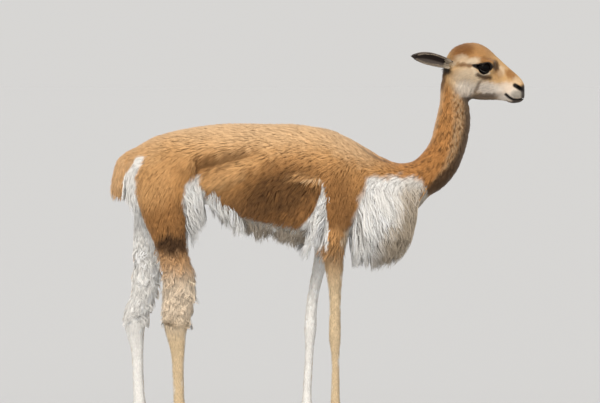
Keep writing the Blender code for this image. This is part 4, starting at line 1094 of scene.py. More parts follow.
def rim_point(side, turn, depth):
    """The point of the open eye's edge in the direction turn, at a depth outwards of the eye's middle."""
    centre, outwards, forward, up = eye_frame(side)
    reach = float(eye_edge(turn, OPENING))
    return centre + outwards * depth + (forward * math.cos(turn) + up * math.sin(turn)) * reach


def eye_opening(side):
    """A plug in the shape of the open eye through the lids, looking the way the eye looks."""
    turns = [2 * math.pi * k / 40 for k in range(40)]
    rings = [[rim_point(side, turn, depth) for turn in turns] for depth in (0.006, 0.040)]
    return loft("eye_opening", rings)


def make_skin():
    """One skin over the whole animal, sunk by the depth of its coat, with lids, nostrils and lips."""
    skin = outline_body()
    points = vertex_values(skin.data)
    rise = fold_height(points) - coat_at(points)[:, 2] / 1000
    points = points + vertex_values(skin.data, "normal") * rise[:, None]
    points[:, 2] = np.maximum(points[:, 2], SOLE_Z)
    placed(skin.data, points)

    # Fewer triangles behind the head
    group = skin.vertex_groups.new(name="plain")
    plain = np.flatnonzero(beyond(points, HEAD_PLANE) < 0.0)
    group.add([int(i) for i in plain], 1.0, "REPLACE")
    decimate = skin.modifiers.new("Decimate", "DECIMATE")
    head_faces = (len(points) - len(plain)) * 2
    decimate.ratio = min(1.0, (SKIN_FACES + head_faces) / (2 * len(points)))
    decimate.vertex_group = group.name
    applied(skin)
    skin.vertex_groups.clear()

    cut(skin, loft("bib_core", level_rings(BIB_CORE, 1, 2.2)), "UNION")
    for side in (-1, 1):
        centre = mirrored(EYE_PLACE, side)
        cut(skin, ellipsoid("lids", centre, [EYE_RADIUS + LID_THICKNESS] * 3, segments=48), "UNION")
        cut(skin, ellipsoid("socket", centre, [EYE_RADIUS + 0.0002] * 3, segments=48))
        cut(skin, eye_opening(side))
        slant = (0, math.radians(34), -side * 0.50)
        cut(skin, ellipsoid("nostril", (0.5355, side * 0.0190, 0.9265), (0.0120, 0.0065, 0.0046), slant))
    wide, high = MOUTH_SLIT
    corners = ((-wide, 0), (wide, 0), (wide, high), (-wide, high))
    mouth = loft("mouth", [[Vector((x, y, z + lift)) for y, lift in corners] for x, z in MOUTH])
    cut(mouth, ellipsoid("tongue", (0.502, 0, 0.900), (0.0400, 0.0155, 0.030)))
    return cut(skin, mouth)


def store(mesh, name, kind, values):
    """A value for every vertex, which the materials read."""
    field = {"FLOAT": "value", "BYTE_COLOR": "color"}[kind]
    attribute = mesh.attributes.new(name, kind, "POINT")
    attribute.data.foreach_set(field, np.ascontiguousarray(values, dtype=np.float32).ravel())


def store_coat(mesh, colours, along):
    """The colour of every vertex, and how near it is to a tip, from 0 to 1."""
    opaque = np.concatenate([np.clip(colours, 0, 1), np.ones((len(colours), 1))], axis=1)
    store(mesh, "coat", "BYTE_COLOR", opaque)
    store(mesh, "along", "FLOAT", along)


def dressed(obj, material, slot, nodes=()):
    """Gives a finished piece its material, smooth faces and place on the body. The slot is not used."""
    obj.data.materials.clear()
    obj.data.materials.append(material)
    obj.data.shade_smooth()
    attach(obj, "root")
    if nodes:
        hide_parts(*nodes)
    return obj


def tufts_ground(skin):
    """The skin's triangles as arrays: middle, corners, corner normals and area."""
    mesh = skin.data
    mesh.calc_loop_triangles()
    corners = np.empty(len(mesh.loop_triangles) * 3, dtype=np.int32)
    mesh.loop_triangles.foreach_get("vertices", corners)
    corners = corners.reshape(-1, 3)
    points, normals = vertex_values(mesh)[corners], vertex_values(mesh, "normal")[corners]
    edge_a, edge_b = points[:, 1] - points[:, 0], points[:, 2] - points[:, 0]
    area = np.linalg.norm(np.cross(edge_a, edge_b), axis=1) / 2
    return {"middle": points.mean(1), "points": points, "normals": normals, "area": area}


def rooted(ground, per_area, draw):
    """Roots spread over the triangles, per_area to a square metre, with their normals."""
    amount = per_area * ground["area"]
    count = int(amount.sum() * COAT_SHARE)
    if count == 0:
        return np.empty((0, 3)), np.empty((0, 3))
    running = np.cumsum(amount)
    pick = np.searchsorted(running, (np.arange(count) + draw.uniform(0, 1, count)) / count * running[-1])
    pick = np.minimum(pick, len(running) - 1)
    a, b = draw.uniform(0, 1, (2, count))
    over = a + b > 1
    a[over], b[over] = 1 - a[over], 1 - b[over]
    weight = np.stack([1 - a - b, a, b], axis=1)[:, :, None]
    points = (ground["points"][pick] * weight).sum(1)
    return points, unit((ground["normals"][pick] * weight).sum(1))


def unrolled(points, axis):
    """Each root's place on the skin unrolled round its own middle line, from 0 to 1 both ways."""
    along = points[:, axis]
    low, high = along.min(), along.max() + 1e-9
    across = [i for i in range(3) if i != axis]
    stations = np.linspace(low, high, UNROLL_PARTS + 1)
    slot = np.clip(((along - low) / (high - low) * UNROLL_PARTS).astype(int), 0, UNROLL_PARTS - 1)
    count = np.bincount(slot, minlength=UNROLL_PARTS)
    line = []
    for i in across:
        total = np.bincount(slot, weights=points[:, i], minlength=UNROLL_PARTS)
        mean = np.where(count > 0, total / np.maximum(count, 1), points[:, i].mean())
        line.append(np.interp(along, (stations[1:] + stations[:-1]) / 2, mean))
    turn = np.arctan2(points[:, across[1]] - line[1], points[:, across[0]] - line[0])
    place = np.stack([turn / (2 * math.pi) + 0.5, (along - low) / (high - low)], axis=1)
    return 0.005 + place * 0.99


def strand_faces(rings):
    """The triangles of one three-sided strand with that many rings and a tip."""
    faces = [(0, 1, 2)]
    for k in range(rings - 1):
        for j in range(3):
            a, b = 3 * k + j, 3 * k + (j + 1) % 3
            faces += [(a, a + 3, b + 3), (a, b + 3, b)]
    last = 3 * (rings - 1)
    for j in range(3):
        faces.append((last + j, 3 * rings, last + (j + 1) % 3))
    return np.array(faces)


def strand_meshes(name, line, side, up, half, normals, softness, colours, places, steps, depth_tone):
    """Closed three-sided strands, one to a row of line, in as few objects as their number allows.

    In line are the middles of a strand's rings and its tip, in half the half widths of its rings,
    and in the last argument how much darker painted shade makes its root than its tip.
    """
    count, stations = line.shape[:2]
    rings = stations - 1
    template = strand_faces(rings)
    per = 3 * rings + 1
    parts = max(1, math.ceil(count / (PIECE_LIMIT // len(template))))
    cross = np.array([(1.0, 0.0), (0.0, 1.0), (-1.0, 0.0)])
    lean = unit(np.array([(0.8, 0.45), (0.0, 1.0), (-0.8, 0.45)]))
    patch = np.array([(0.0, 0.0), (0.5, 0.0), (1.0, 0.0)])
    ring_patch = np.concatenate([patch + (0, step) for step in steps[:-1]] + [np.array([(0.5, 1.0)])])
    shade = np.concatenate([np.repeat(steps[:-1], 3), steps[-1:]])
    made = []
    for part in range(parts):
        rows = slice(count * part // parts, count * (part + 1) // parts)
        middle, s, u, h, n = line[rows], side[rows], up[rows], half[rows], normals[rows]
        size = len(middle)
        wide = cross[None, None, :, 0, None] * s[:, None, None] * h[:, :, None, None]
        high = cross[None, None, :, 1, None] * u[:, None, None] * h[:, :, None, None] * (STRAND_RIDGE * 2)
        body = (middle[:, :-1, None] + (wide + high)).reshape(size, -1, 3)
        verts = np.concatenate([body, middle[:, -1:]], axis=1)
        facing = lean[:, 0, None] * s[:, None] + lean[:, 1, None] * u[:, None]
        facing = np.concatenate([np.tile(facing, (1, rings, 1)), u[:, None]], axis=1)
        soften = softness[rows][:, None, None]
        facing = unit(facing * (1 - soften) + n[:, None] * soften)
        faces = (template[None] + (np.arange(size) * per)[:, None, None]).reshape(-1, 3)
        mesh = bpy.data.meshes.new(name)
        mesh.vertices.add(size * per)
        mesh.vertices.foreach_set("co", verts.astype(np.float32).ravel())
        mesh.loops.add(faces.size)
        mesh.loops.foreach_set("vertex_index", faces.ravel().astype(np.int32))
        mesh.polygons.add(len(faces))
        mesh.polygons.foreach_set("loop_start", np.arange(0, faces.size, 3, dtype=np.int32))
        mesh.update(calc_edges=True)
        mesh.shade_smooth()
        # Painted shade towards the root, read by the material
        along = 1 - (1 - shade[None]) * depth_tone[rows][:, None]
        store_coat(mesh, np.repeat(colours[rows], per, axis=0), along)
        store(mesh, "strand", "FLOAT", np.repeat(np.arange(size) * 0.618 % 1, per))
        spots = places[rows][:, None] + (ring_patch[None] - 0.5) * BAKE_PATCH
        layer = mesh.uv_layers.new(name="OFBake")
        layer.uv.foreach_set("vector", spots.reshape(-1, 2)[faces.ravel()].astype(np.float32).ravel())
        mesh.normals_split_custom_set_from_vertices(facing.reshape(-1, 3).astype(np.float32))
        made.append(added(name if parts == 1 else f"{name}_{part + 1}", mesh))
    return made


def clump_heads(points, size, draw):
    """For each root the number of the root in whose clump it is, with about size to a clump."""
    count = len(points)
    heads = draw.choice(count, max(1, count // size), replace=False)
    tree = KDTree(len(heads))
    for place, i in enumerate(heads):
        tree.insert(points[i], place)
    tree.balance()
    return heads[np.array([tree.find(point)[1] for point in points])]


def strands(name, points, normals, lie, length, width, rise, draw, steps, axis, finish, clump=10,
            pull=0.35, wave=0.0, waves=1.5, sink=0.0015, softness=0.62, shade=0.10, colours=None,
            depth_tone=1.0, held=None):
    """Strands from the roots: each rises from the skin and bends over to lie along lie.

    rise is how far the tips stand off the skin, pull how far they draw together in clumps, wave
    the size of their waves, held a function that keeps their lines inside an outline, and finish
    the material and its slot.
    """
    count = len(points)
    if count == 0:
        return
    steps = np.asarray(steps, dtype=float)
    length, width, rise, pull, shade, softness, depth_tone = (
        np.broadcast_to(value, count) for value in (length, width, rise, pull, shade, softness, depth_tone)
    )
    heads = clump_heads(points, clump, draw)
    side = unit(np.cross(lie, normals))
    lie = unit(lie + side * draw.normal(size=(count, 1)) * (0.05 + 0.15 * pull[:, None]))
    length = length * draw.uniform(0.72, 1.12, count)
    rise = rise * draw.uniform(0.72, 1.08, count)
    t = steps[None, :, None]
    start = points - normals * sink
    line = start[:, None] + lie[:, None] * (length[:, None, None] * t)
    line = line + normals[:, None] * ((rise + sink)[:, None, None] * (1 - (1 - t) ** 2))
    phase = (draw.uniform(0, 2 * math.pi, count) * 0.3 + draw.uniform(0, 2 * math.pi, count)[heads])
    swing = np.sin(phase[:, None, None] + t * waves * 2 * math.pi) - np.sin(phase)[:, None, None]
    line = line + side[:, None] * (swing * wave)
    tips = line[:, -1]
    line = line + (tips[heads] - tips)[:, None] * (pull[:, None, None] * t**1.6)
    if held:
        line = held(line, draw.uniform(0, 1, (count, 1)))
    side = unit(np.cross(lie, normals))
    up = unit(np.cross(side, lie))
    roll = draw.uniform(-0.5, 0.5, (count, 1))
    side, up = side * np.cos(roll) + up * np.sin(roll), up * np.cos(roll) - side * np.sin(roll)
    taper = np.interp(steps[:-1], (0.0, 0.25, 0.6, 1.0), (0.62, 1.0, 0.85, 0.25))
    taper = taper / taper.max()
    half = width[:, None] / 2 * taper[None] * draw.uniform(0.75, 1.2, (count, 1))
    if colours is None:
        colours = markings(points + lie * length[:, None] / 2)
    light = 1 + shade * (draw.normal(size=count) * 0.6 + draw.normal(size=count)[heads] * 0.8)
    colours = colours * np.clip(light, 0.4, 1.5)[:, None]
    places = unrolled(points, axis)
    for piece in strand_meshes(
        name, line, side, up, half, normals, softness, colours, places, steps, depth_tone
    ):
        dressed(piece, *finish)


def region_masks(points):
    """Which triangles each piece of the short coat grows on, and the axis it is unrolled round."""
    x, y, z = points.T
    head = beyond(points, HEAD_PLANE) > 0
    neck = (beyond(points, NECK_PLANE) > 0) & ~head & (z > 0.60)
    low = (z < LEG_TOP) & ~neck & (x < 0.10)
    trunk = ~head & ~neck & ~low
    tail = trunk & (x < TAIL_X)
    made = {}
    for side, label in SIDES:
        half = y * side > 0
        for name, mask, axis in (
            ("head", head, 0),
            ("neck", neck, 2),
            ("chest", trunk & (x > GIRTH_X), 0),
            ("barrel", trunk & (x <= GIRTH_X) & (x > CROUP_X), 0),
            ("haunch", trunk & (x <= CROUP_X) & ~tail, 0),
            ("foreleg", low & (x > MID_X), 2),
            ("hindleg", low & (x <= MID_X), 2),
        ):
            made[f"{name}_{label}"] = (mask & half, axis)
    made["tail"] = (tail, 2)
    return made


def openness(points):
    """How far the coat falls open in clumps, from 0 where it is sleek to 1."""
    return painted(OPEN_COAT, points, OPEN_PATCHES)[:, 0]


def lie_of(points, normals, field, swirl):
    """The way the coat lies along the skin at each root, with whorls of the strength swirl."""
    way = np.zeros((len(points), 3))
    way[:, 0], way[:, 2] = field[:, 0], field[:, 1]
    sweep = (ripples(points, 0.060, 21) * 0.28 + ripples(points, 0.025, 22) * 0.16) * swirl
    way[:, 1] = sweep
    way[:, 0] += sweep * 0.6
    way = way - normals * (way * normals).sum(1, keepdims=True)
    weak = np.linalg.norm(way, axis=1) < 0.15
    way[weak] += (-0.5, 0, -0.2)
    way = way - normals * (way * normals).sum(1, keepdims=True)
    return unit(way)


def hair_share(points):
    """1 where hair grows, 0 on eyeballs, lid edges, nostrils, lips and soles."""
    inside, _ = near_eye(points)
    grows = soft(inside - 1.28, 0.10)
    grows = grows * (1 - nostril_share(points)) * (1 - 0.9 * lip_share(points))
    return grows * soft(points[:, 2] - 0.006, 0.004)


def short_coat(ground, materials):
    """Tufts over the whole skin, in the sizes and the lie of the coat's table."""
    draw = np.random.default_rng(COAT_SEED)
    middle = ground["middle"]
    density = coat_at(middle)[:, 5] * 1e4 * hair_share(middle)
    for name, (mask, axis) in region_masks(middle).items():
        points, normals = rooted(ground, density * mask, draw)
        keep = hair_share(points) > 0.5
        points, normals = points[keep], normals[keep]
        here = coat_at(points)
        opened = openness(points)
        flat = name.startswith(("head", "foreleg", "hindleg"))
        strands(
            f"coat_{name}",
            points,
            normals,
            lie_of(points, normals, here, 0.15 + opened),
            here[:, 3] / 1000,
            here[:, 4] / 1000,
            here[:, 2] / 1000 * 0.95,
            draw,
            (0.0, 1.0) if flat else (0.0, 0.45, 1.0),
            axis,
            (materials["tan"], "coat_tan"),
            clump=9,
            pull=0.06 + 0.55 * opened,
            sink=0.0006 if flat else 0.0015,
            softness=0.92 - 0.40 * opened,
            shade=0.02 + 0.17 * opened,
            # Painted shade at the roots, deeper where the coat falls open, less in white hair
            depth_tone=(0.15 + 0.85 * opened) * (1 - 0.7 * white_share(points)),
        )


def hanging_hair(name, ground, wanted, per_area, length, lean, draw, finish, segments=5, spread=0.10,
                 tone=None, **look):
    """Long locks that leave the skin where wanted says and hang down, drawn together at their tips.

    finish is the material and its slot, and look what strands() is to be told beside HANGING_LOOK.
    length, lean and the pull, rise and depth_tone of look are values or functions of the roots.
    """
    points, normals = rooted(ground, wanted * per_area, draw)
    count = len(points)
    if count == 0:
        return

    def at_roots(value):
        return value(points) if callable(value) else value

    lie = np.zeros((count, 3))
    lie[:, 0] = at_roots(lean)
    lie[:, 2] = -1.0
    lie[:, :2] += draw.normal(size=(count, 2)) * (spread, spread * 0.7) + normals[:, :2] * 0.10
    look = HANGING_LOOK | look
    for key in ("pull", "rise", "depth_tone"):
        look[key] = at_roots(look[key])
    strands(
        name, points, normals, unit(lie), at_roots(length), draw=draw,
        steps=np.linspace(0, 1, segments + 1), colours=tone, finish=finish, **look,
    )


def kept_behind(table, band):
    """A hold that keeps strands behind a line of heights and places along the body."""
    def held(line, share):
        line = line.copy()
        line[:, :, 0] = np.minimum(line[:, :, 0], read_off(table, line[:, :, 2]) - share * band)
        return line
    return held


def long_coat(ground, materials):
    """Bib, belly fringe, flank, rump, groin, armpits, shaggy shanks, elbows and tail."""
    draw = np.random.default_rng(COAT_SEED + 1)
    middle = ground["middle"]
    x, y, z = middle.T
    reach = np.abs(y)
    facing = unit(ground["normals"].mean(1))[:, 2]
    white, tan = (materials["white"], "coat_white"), (materials["tan"], "coat_tan")

    bib = np.minimum(x - read_off(BIB_LINE, z) - 0.002, read_off(BIB_TOP, x) - z - 0.002)
    bib = (bib > 0) & (z > 0.50) & (x > 0.08) & ((z > 0.53) | (facing < 0.2))
    hanging_hair(
        "bib_hair", ground, bib, 58000, lambda p: 0.070 + 0.036 * soft(p[:, 2] - 0.60, 0.12),
        lambda p: np.interp(p[:, 0], (0.095, 0.120, 0.155, 0.280), (-0.12, 0.02, 0.34, 0.50)), draw, white,
        width=0.0021, rise=lambda p: 0.012 + 0.020 * soft(0.130 - p[:, 0], 0.03), clump=14,
        pull=lambda p: np.interp(p[:, 2], (0.60, 0.67), (0.60, 0.20)),
        depth_tone=lambda p: np.interp(p[:, 2], (0.60, 0.67), (0.95, 0.35))
        * (0.15 + 0.85 * soft(p[:, 0] - 0.145, 0.04)), segments=6, spread=0.06,
        shade=0.12, softness=0.42, held=kept_behind(BIB_FRONT, 0.055),
    )
    # The belly's fringe: white hair greyed by painted shade
    belly = (facing < -0.80) & (x > -0.245) & (x < -0.02) & (z > 0.50) & (z < 0.63)
    hanging_hair(
        "belly_hair", ground, belly, 26000, lambda p: 0.041 + 0.012 * np.sin(p[:, 0] * 70), -0.15, draw,
        white, width=0.0017, rise=0.002, clump=14, wave=0.004, axis=0, spread=0.26, tone=SHADED_BELLY_WHITE,
    )
    flank = (way_gap(middle, FLANK_EDGE) < 0.016) & (reach > 0.04) & (facing < -0.60)
    hanging_hair(
        "flank_hair", ground, flank, 52000, lambda p: 0.048 + 0.022 * soft(p[:, 0] + 0.255, 0.06), 0.20,
        draw, white, width=0.0017, rise=0.004, clump=9, pull=0.7, axis=0, shade=0.14, tone=WHITE,
    )
    rump = (x < read_off(RUMP_LINE, z) - 0.002) & (x > read_off(RUMP_REAR, z))
    rump = rump & (z > 0.595) & (z < 0.680) & (reach > 0.02)
    hanging_hair(
        "rump_hair", ground, rump, 60000, 0.046, 0.26, draw, white, width=0.0018, rise=0.004, pull=0.3,
        wave=0.0015, segments=4, tone=WHITE,
    )
    groin = x - read_off(GROIN_LINE, z)
    groin = (groin > -0.002) & (x < -0.298) & (z > 0.540) & (z < 0.692) & (reach > 0.03)
    hanging_hair(
        "groin_hair", ground, groin, 80000, lambda p: 0.042 + 0.026 * soft(0.66 - p[:, 2], 0.08),
        lambda p: 0.34 * soft(p[:, 2] - 0.60, 0.08), draw, white, width=0.0017, rise=0.012, pull=0.35,
        wave=0.0035, softness=0.6, held=kept_behind(GROIN_FRONT, 0.014), tone=WHITE,
    )
    armpit = way_gap(middle, CRESCENT) < np.interp(z, (0.58, 0.62, 0.68), (0.018, 0.009, 0.004))
    armpit = armpit & (z < 0.668) & (reach > 0.045) & (z > 0.54)
    hanging_hair(
        "armpit_hair", ground, armpit, 66000, lambda p: 0.024 + 0.034 * soft(0.640 - p[:, 2], 0.06),
        lambda p: -0.45 * soft(0.66 - p[:, 2], 0.05), draw, white, width=0.0018,
        rise=lambda p: 0.006 + 0.018 * soft(0.600 - p[:, 2], 0.04), clump=10, spread=0.16, shade=0.20,
        tone=WHITE,
    )
    shank = (z < 0.520) & (z > 0.305) & (x < -0.25)
    hanging_hair(
        "shank_hair", ground, shank, 23000, lambda p: 0.020 + 0.012 * soft(p[:, 2] - 0.375, 0.12), -0.02,
        draw, tan, width=0.0026, rise=0.0058, clump=14, pull=0.75, wave=0.0048, waves=1.7, segments=6,
        spread=0.16, softness=0.46, shade=0.11, depth_tone=1.0,
    )
    elbow = (z < 0.570) & (z > 0.500) & (x > 0.018) & (x < 0.085) & (reach > 0.06)
    hanging_hair(
        "elbow_hair", ground, elbow, 45000, lambda p: 0.028 + 0.008 * soft(0.550 - p[:, 2], 0.05), -0.34,
        draw, tan, width=0.0020, rise=0.006, clump=16, pull=0.40, wave=0.002, segments=4, spread=0.14,
        shade=0.20, depth_tone=1.0,
    )
    tail = (x < TAIL_X + 0.012) & (z > 0.655) & (z < 0.742) & (reach < 0.04)
    hanging_hair(
        "tail_hair", ground, tail, 80000, 0.030, -0.04, draw, tan, width=0.0016, rise=0.005, pull=0.30,
        wave=0.001, segments=3, spread=0.12, depth_tone=0.3, held=kept_behind(TAIL_FRONT, 0.006),
    )


def set_up(made, **values):
    """Sets the sockets of a node by name, with _ for a space, and its settings by attribute."""
    for key, value in values.items():
        name = key.replace("_", " ")
        if name in made.inputs:
            made.inputs[name].default_value = value
        else:
            setattr(made, key, value)
    return made


def node(tree, kind, **values):
    """A new node with the given sockets and settings."""
    return set_up(tree.nodes.new(kind), **values)


def wire(tree, *links):
    """Joins nodes, each link a node and its output with a node and its input."""
    for source, output, target, socket in links:
        tree.links.new(source.outputs[output], target.inputs[socket])


def wool_group():
    """Fine unevenness of hair: painted shade along the strand, darker towards the root, mottling, and a bump
    along the lie.
    """
    group = bpy.data.node_groups.new("wool", "ShaderNodeTree")
    face = group.interface
    for name, value in WOOL_INPUTS.items():
        kind = "NodeSocketFloat" if isinstance(value, float) else "NodeSocketColor"
        face.new_socket(name, in_out="INPUT", socket_type=kind).default_value = value
    for name, kind in (("Colour", "Color"), ("Roughness", "Float"), ("Normal", "Vector")):
        face.new_socket(name, in_out="OUTPUT", socket_type=f"NodeSocket{kind}")
    start, end = node(group, "NodeGroupInput"), node(group, "NodeGroupOutput")
    place = node(group, "ShaderNodeTexCoord")
    stretch = node(group, "ShaderNodeMapping", Scale=(0.35, 1.0, 0.55))
    fine = node(group, "ShaderNodeTexNoise", Detail=3.0, Roughness=0.6)
    broad = node(group, "ShaderNodeTexNoise", Scale=38.0, Detail=4.0, Roughness=0.6)

    # Tone: darker at the root as painted shade deep in the coat, and a little different from strand to
    # strand and place to place
    root_shade_ramp = node(group, "ShaderNodeMapRange", From_Max=0.7)
    centred = node(group, "ShaderNodeMath", operation="SUBTRACT")
    centred.inputs[1].default_value = 0.5
    mottle = node(group, "ShaderNodeMath", operation="MULTIPLY_ADD")
    mottle.inputs[2].default_value = 1.0
    single = node(group, "ShaderNodeMapRange", To_Min=0.93, To_Max=1.07)
    tone = node(group, "ShaderNodeMath", operation="MULTIPLY")
    whole = node(group, "ShaderNodeMath", operation="MULTIPLY")
    scaled = node(group, "ShaderNodeVectorMath", operation="SCALE")
    rough = node(group, "ShaderNodeMapRange", To_Min=0.70, To_Max=0.92)
    bump = node(group, "ShaderNodeBump", Distance=0.0008)
    wire(
        group,
        (place, "Object", stretch, "Vector"),
        (place, "Object", broad, "Vector"),
        (stretch, "Vector", fine, "Vector"),
        (start, "Grain", fine, "Scale"),
        (start, "Along", root_shade_ramp, "Value"),
        (start, "Root tone", root_shade_ramp, "To Min"),
        (broad, "Fac", centred, 0),
        (centred, 0, mottle, 0),
        (start, "Mottle", mottle, 1),
        (start, "Strand", single, "Value"),
        (root_shade_ramp, "Result", tone, 0),
        (mottle, 0, tone, 1),
        (tone, 0, whole, 0),
        (single, "Result", whole, 1),
        (start, "Colour", scaled, 0),
        (whole, 0, scaled, "Scale"),
        (scaled, "Vector", end, "Colour"),
        (fine, "Fac", rough, "Value"),
        (rough, "Result", end, "Roughness"),
        (start, "Bump", bump, "Strength"),
        (fine, "Fac", bump, "Height"),
        (bump, "Normal", end, "Normal"),
    )
    return group


def new_material(name, colour):
    """A material, its tree and its shader."""
    made = bpy.data.materials.new(name)
    made.use_nodes = True
    made.diffuse_color = (*colour, 1)
    return made, made.node_tree, made.node_tree.nodes["Principled BSDF"]


def coloured_ramp(tree, stops):
    """A ramp through the places and colours of stops, two or more."""
    ramp = node(tree, "ShaderNodeValToRGB")
    elements = ramp.color_ramp.elements
    for i, (position, colour) in enumerate(stops):
        element = elements[i] if i < 2 else elements.new(position)
        element.position, element.color = position, (*colour, 1)
    return ramp


def wool_material(name, group, colour, shaded_root_tone=0.55, mottle=0.16, bump=0.25, sheen=0.25):
    """The finish of skin and hair, whose colour is the markings stored with each piece."""
    made, tree, shader = new_material(name, colour)
    wool = node(tree, "ShaderNodeGroup", node_tree=group)
    set_up(wool, Root_tone=shaded_root_tone, Mottle=mottle, Bump=bump)
    for attribute, output, socket in (
        ("coat", "Color", "Colour"), ("along", "Fac", "Along"), ("strand", "Fac", "Strand"),
    ):
        source = node(tree, "ShaderNodeAttribute", attribute_name=attribute)
        wire(tree, (source, output, wool, socket))
    wire(
        tree,
        (wool, "Colour", shader, "Base Color"),
        (wool, "Roughness", shader, "Roughness"),
        (wool, "Normal", shader, "Normal"),
    )
    set_up(shader, Sheen_Weight=sheen, Sheen_Roughness=0.5, Sheen_Tint=(1.0, 0.93, 0.84, 1),
           Specular_IOR_Level=0.25)
    return made


def eye_material():
    """A dark brown iris with a wide level pupil, under a wet cornea."""
    made, tree, shader = new_material("eye_wet", tint(14, 9, 7))
    iris = node(tree, "ShaderNodeAttribute", attribute_name="iris")
    ramp = coloured_ramp(tree, IRIS_STOPS)
    rays = node(tree, "ShaderNodeTexNoise", Scale=900.0, Detail=3.0)
    place = node(tree, "ShaderNodeTexCoord")
    streak = node(tree, "ShaderNodeMapRange", To_Min=0.6, To_Max=1.4)
    scaled = node(tree, "ShaderNodeVectorMath", operation="SCALE")
    wire(
        tree,
        (place, "Object", rays, "Vector"),
        (rays, "Fac", streak, "Value"),
        (iris, "Fac", ramp, "Fac"),
        (ramp, "Color", scaled, 0),
        (streak, "Result", scaled, "Scale"),
        (scaled, "Vector", shader, "Base Color"),
    )
    set_up(shader, Roughness=0.30, Specular_IOR_Level=0.04, Coat_Weight=0.05, Coat_Roughness=0.06)
    return made


def bare_material(name, dark, pale, rough, scale, bump):
    """Bare skin or horn: two tones in fine mottling with a grained surface."""
    made, tree, shader = new_material(name, dark)
    place = node(tree, "ShaderNodeTexCoord")
    stretch = node(tree, "ShaderNodeMapping", Scale=(0.5, 1.0, 1.6))
    noise = node(tree, "ShaderNodeTexNoise", Scale=scale, Detail=5.0, Roughness=0.6)
    ramp = coloured_ramp(tree, ((0.35, dark), (0.70, pale)))
    relief = node(tree, "ShaderNodeBump", Strength=bump, Distance=0.0005)
    wire(
        tree,
        (place, "Object", stretch, "Vector"),
        (stretch, "Vector", noise, "Vector"),
        (noise, "Fac", ramp, "Fac"),
        (ramp, "Color", shader, "Base Color"),
        (noise, "Fac", relief, "Height"),
        (relief, "Normal", shader, "Normal"),
    )
    set_up(shader, Roughness=rough)
    return made


def lid_point(side, turn, lift):
    """A point on the edge of the lids in the direction turn, lift above the eyeball."""
    reach = float(eye_edge(turn, OPENING))
    return rim_point(side, turn, math.sqrt(max((EYE_RADIUS + lift) ** 2 - reach**2, 1e-6)))


def make_eyes(material, lid_material):
    """Eyeballs with their pupils level, and the wet edge of the lids."""
    for side, label in SIDES:
        centre, outwards, forward, up = eye_frame(side)
        ball = ellipsoid(f"eyeball_{label}", centre, [EYE_RADIUS] * 3, segments=64)
        points = vertex_values(ball.data) - np.array(centre)
        depth = points @ np.array(outwards)
        cornea = eased_step((depth / EYE_RADIUS - 0.62) / 0.38) * 0.0012
        wide, high = points @ np.array(forward), points @ np.array(up)
        ring = np.hypot(wide, high) / EYE_RADIUS
        pupil = np.hypot(wide * 0.55, high * 1.15) / EYE_RADIUS
        iris = np.clip(np.minimum(pupil * 1.9, 0.5) + np.clip(ring - 0.3, 0, 1) * 0.75, 0, 1)
        iris[depth < 0] = 1
        placed(ball.data, points + np.array(centre) + cornea[:, None] * np.array(outwards))
        store(ball.data, "iris", "FLOAT", iris)
        dressed(ball, material, "eye", [f"eye_{label}"])

        # The lids' edge: a thin rounded rim that follows the opening over the ball
        edge = [lid_point(side, 2 * math.pi * k / LID_STEPS, 0.0008) for k in range(LID_STEPS)]
        turns = [2 * math.pi * j / 8 for j in range(8)]
        bm = bmesh.new()
        loops = []
        for middle in edge:
            away = (middle - centre).normalized()
            outer = middle - centre - outwards * (middle - centre).dot(outwards)
            outer = (outer - away * outer.dot(away)).normalized()
            loops.append([
                bm.verts.new(middle + away * 0.0009 * math.sin(a) + outer * 0.0010 * (math.cos(a) + 0.4))
                for a in turns
            ])
        for one, two in zip(loops, loops[1:] + loops[:1]):
            edges = []
            for ring in (one, two):
                for a, b in zip(ring, ring[1:] + ring[:1]):
                    edges.append(bm.edges.get((a, b)) or bm.edges.new((a, b)))
            bmesh.ops.bridge_loops(bm, edges=edges)
        dressed(new_object(f"lid_edge_{label}", bm), lid_material, "eye")


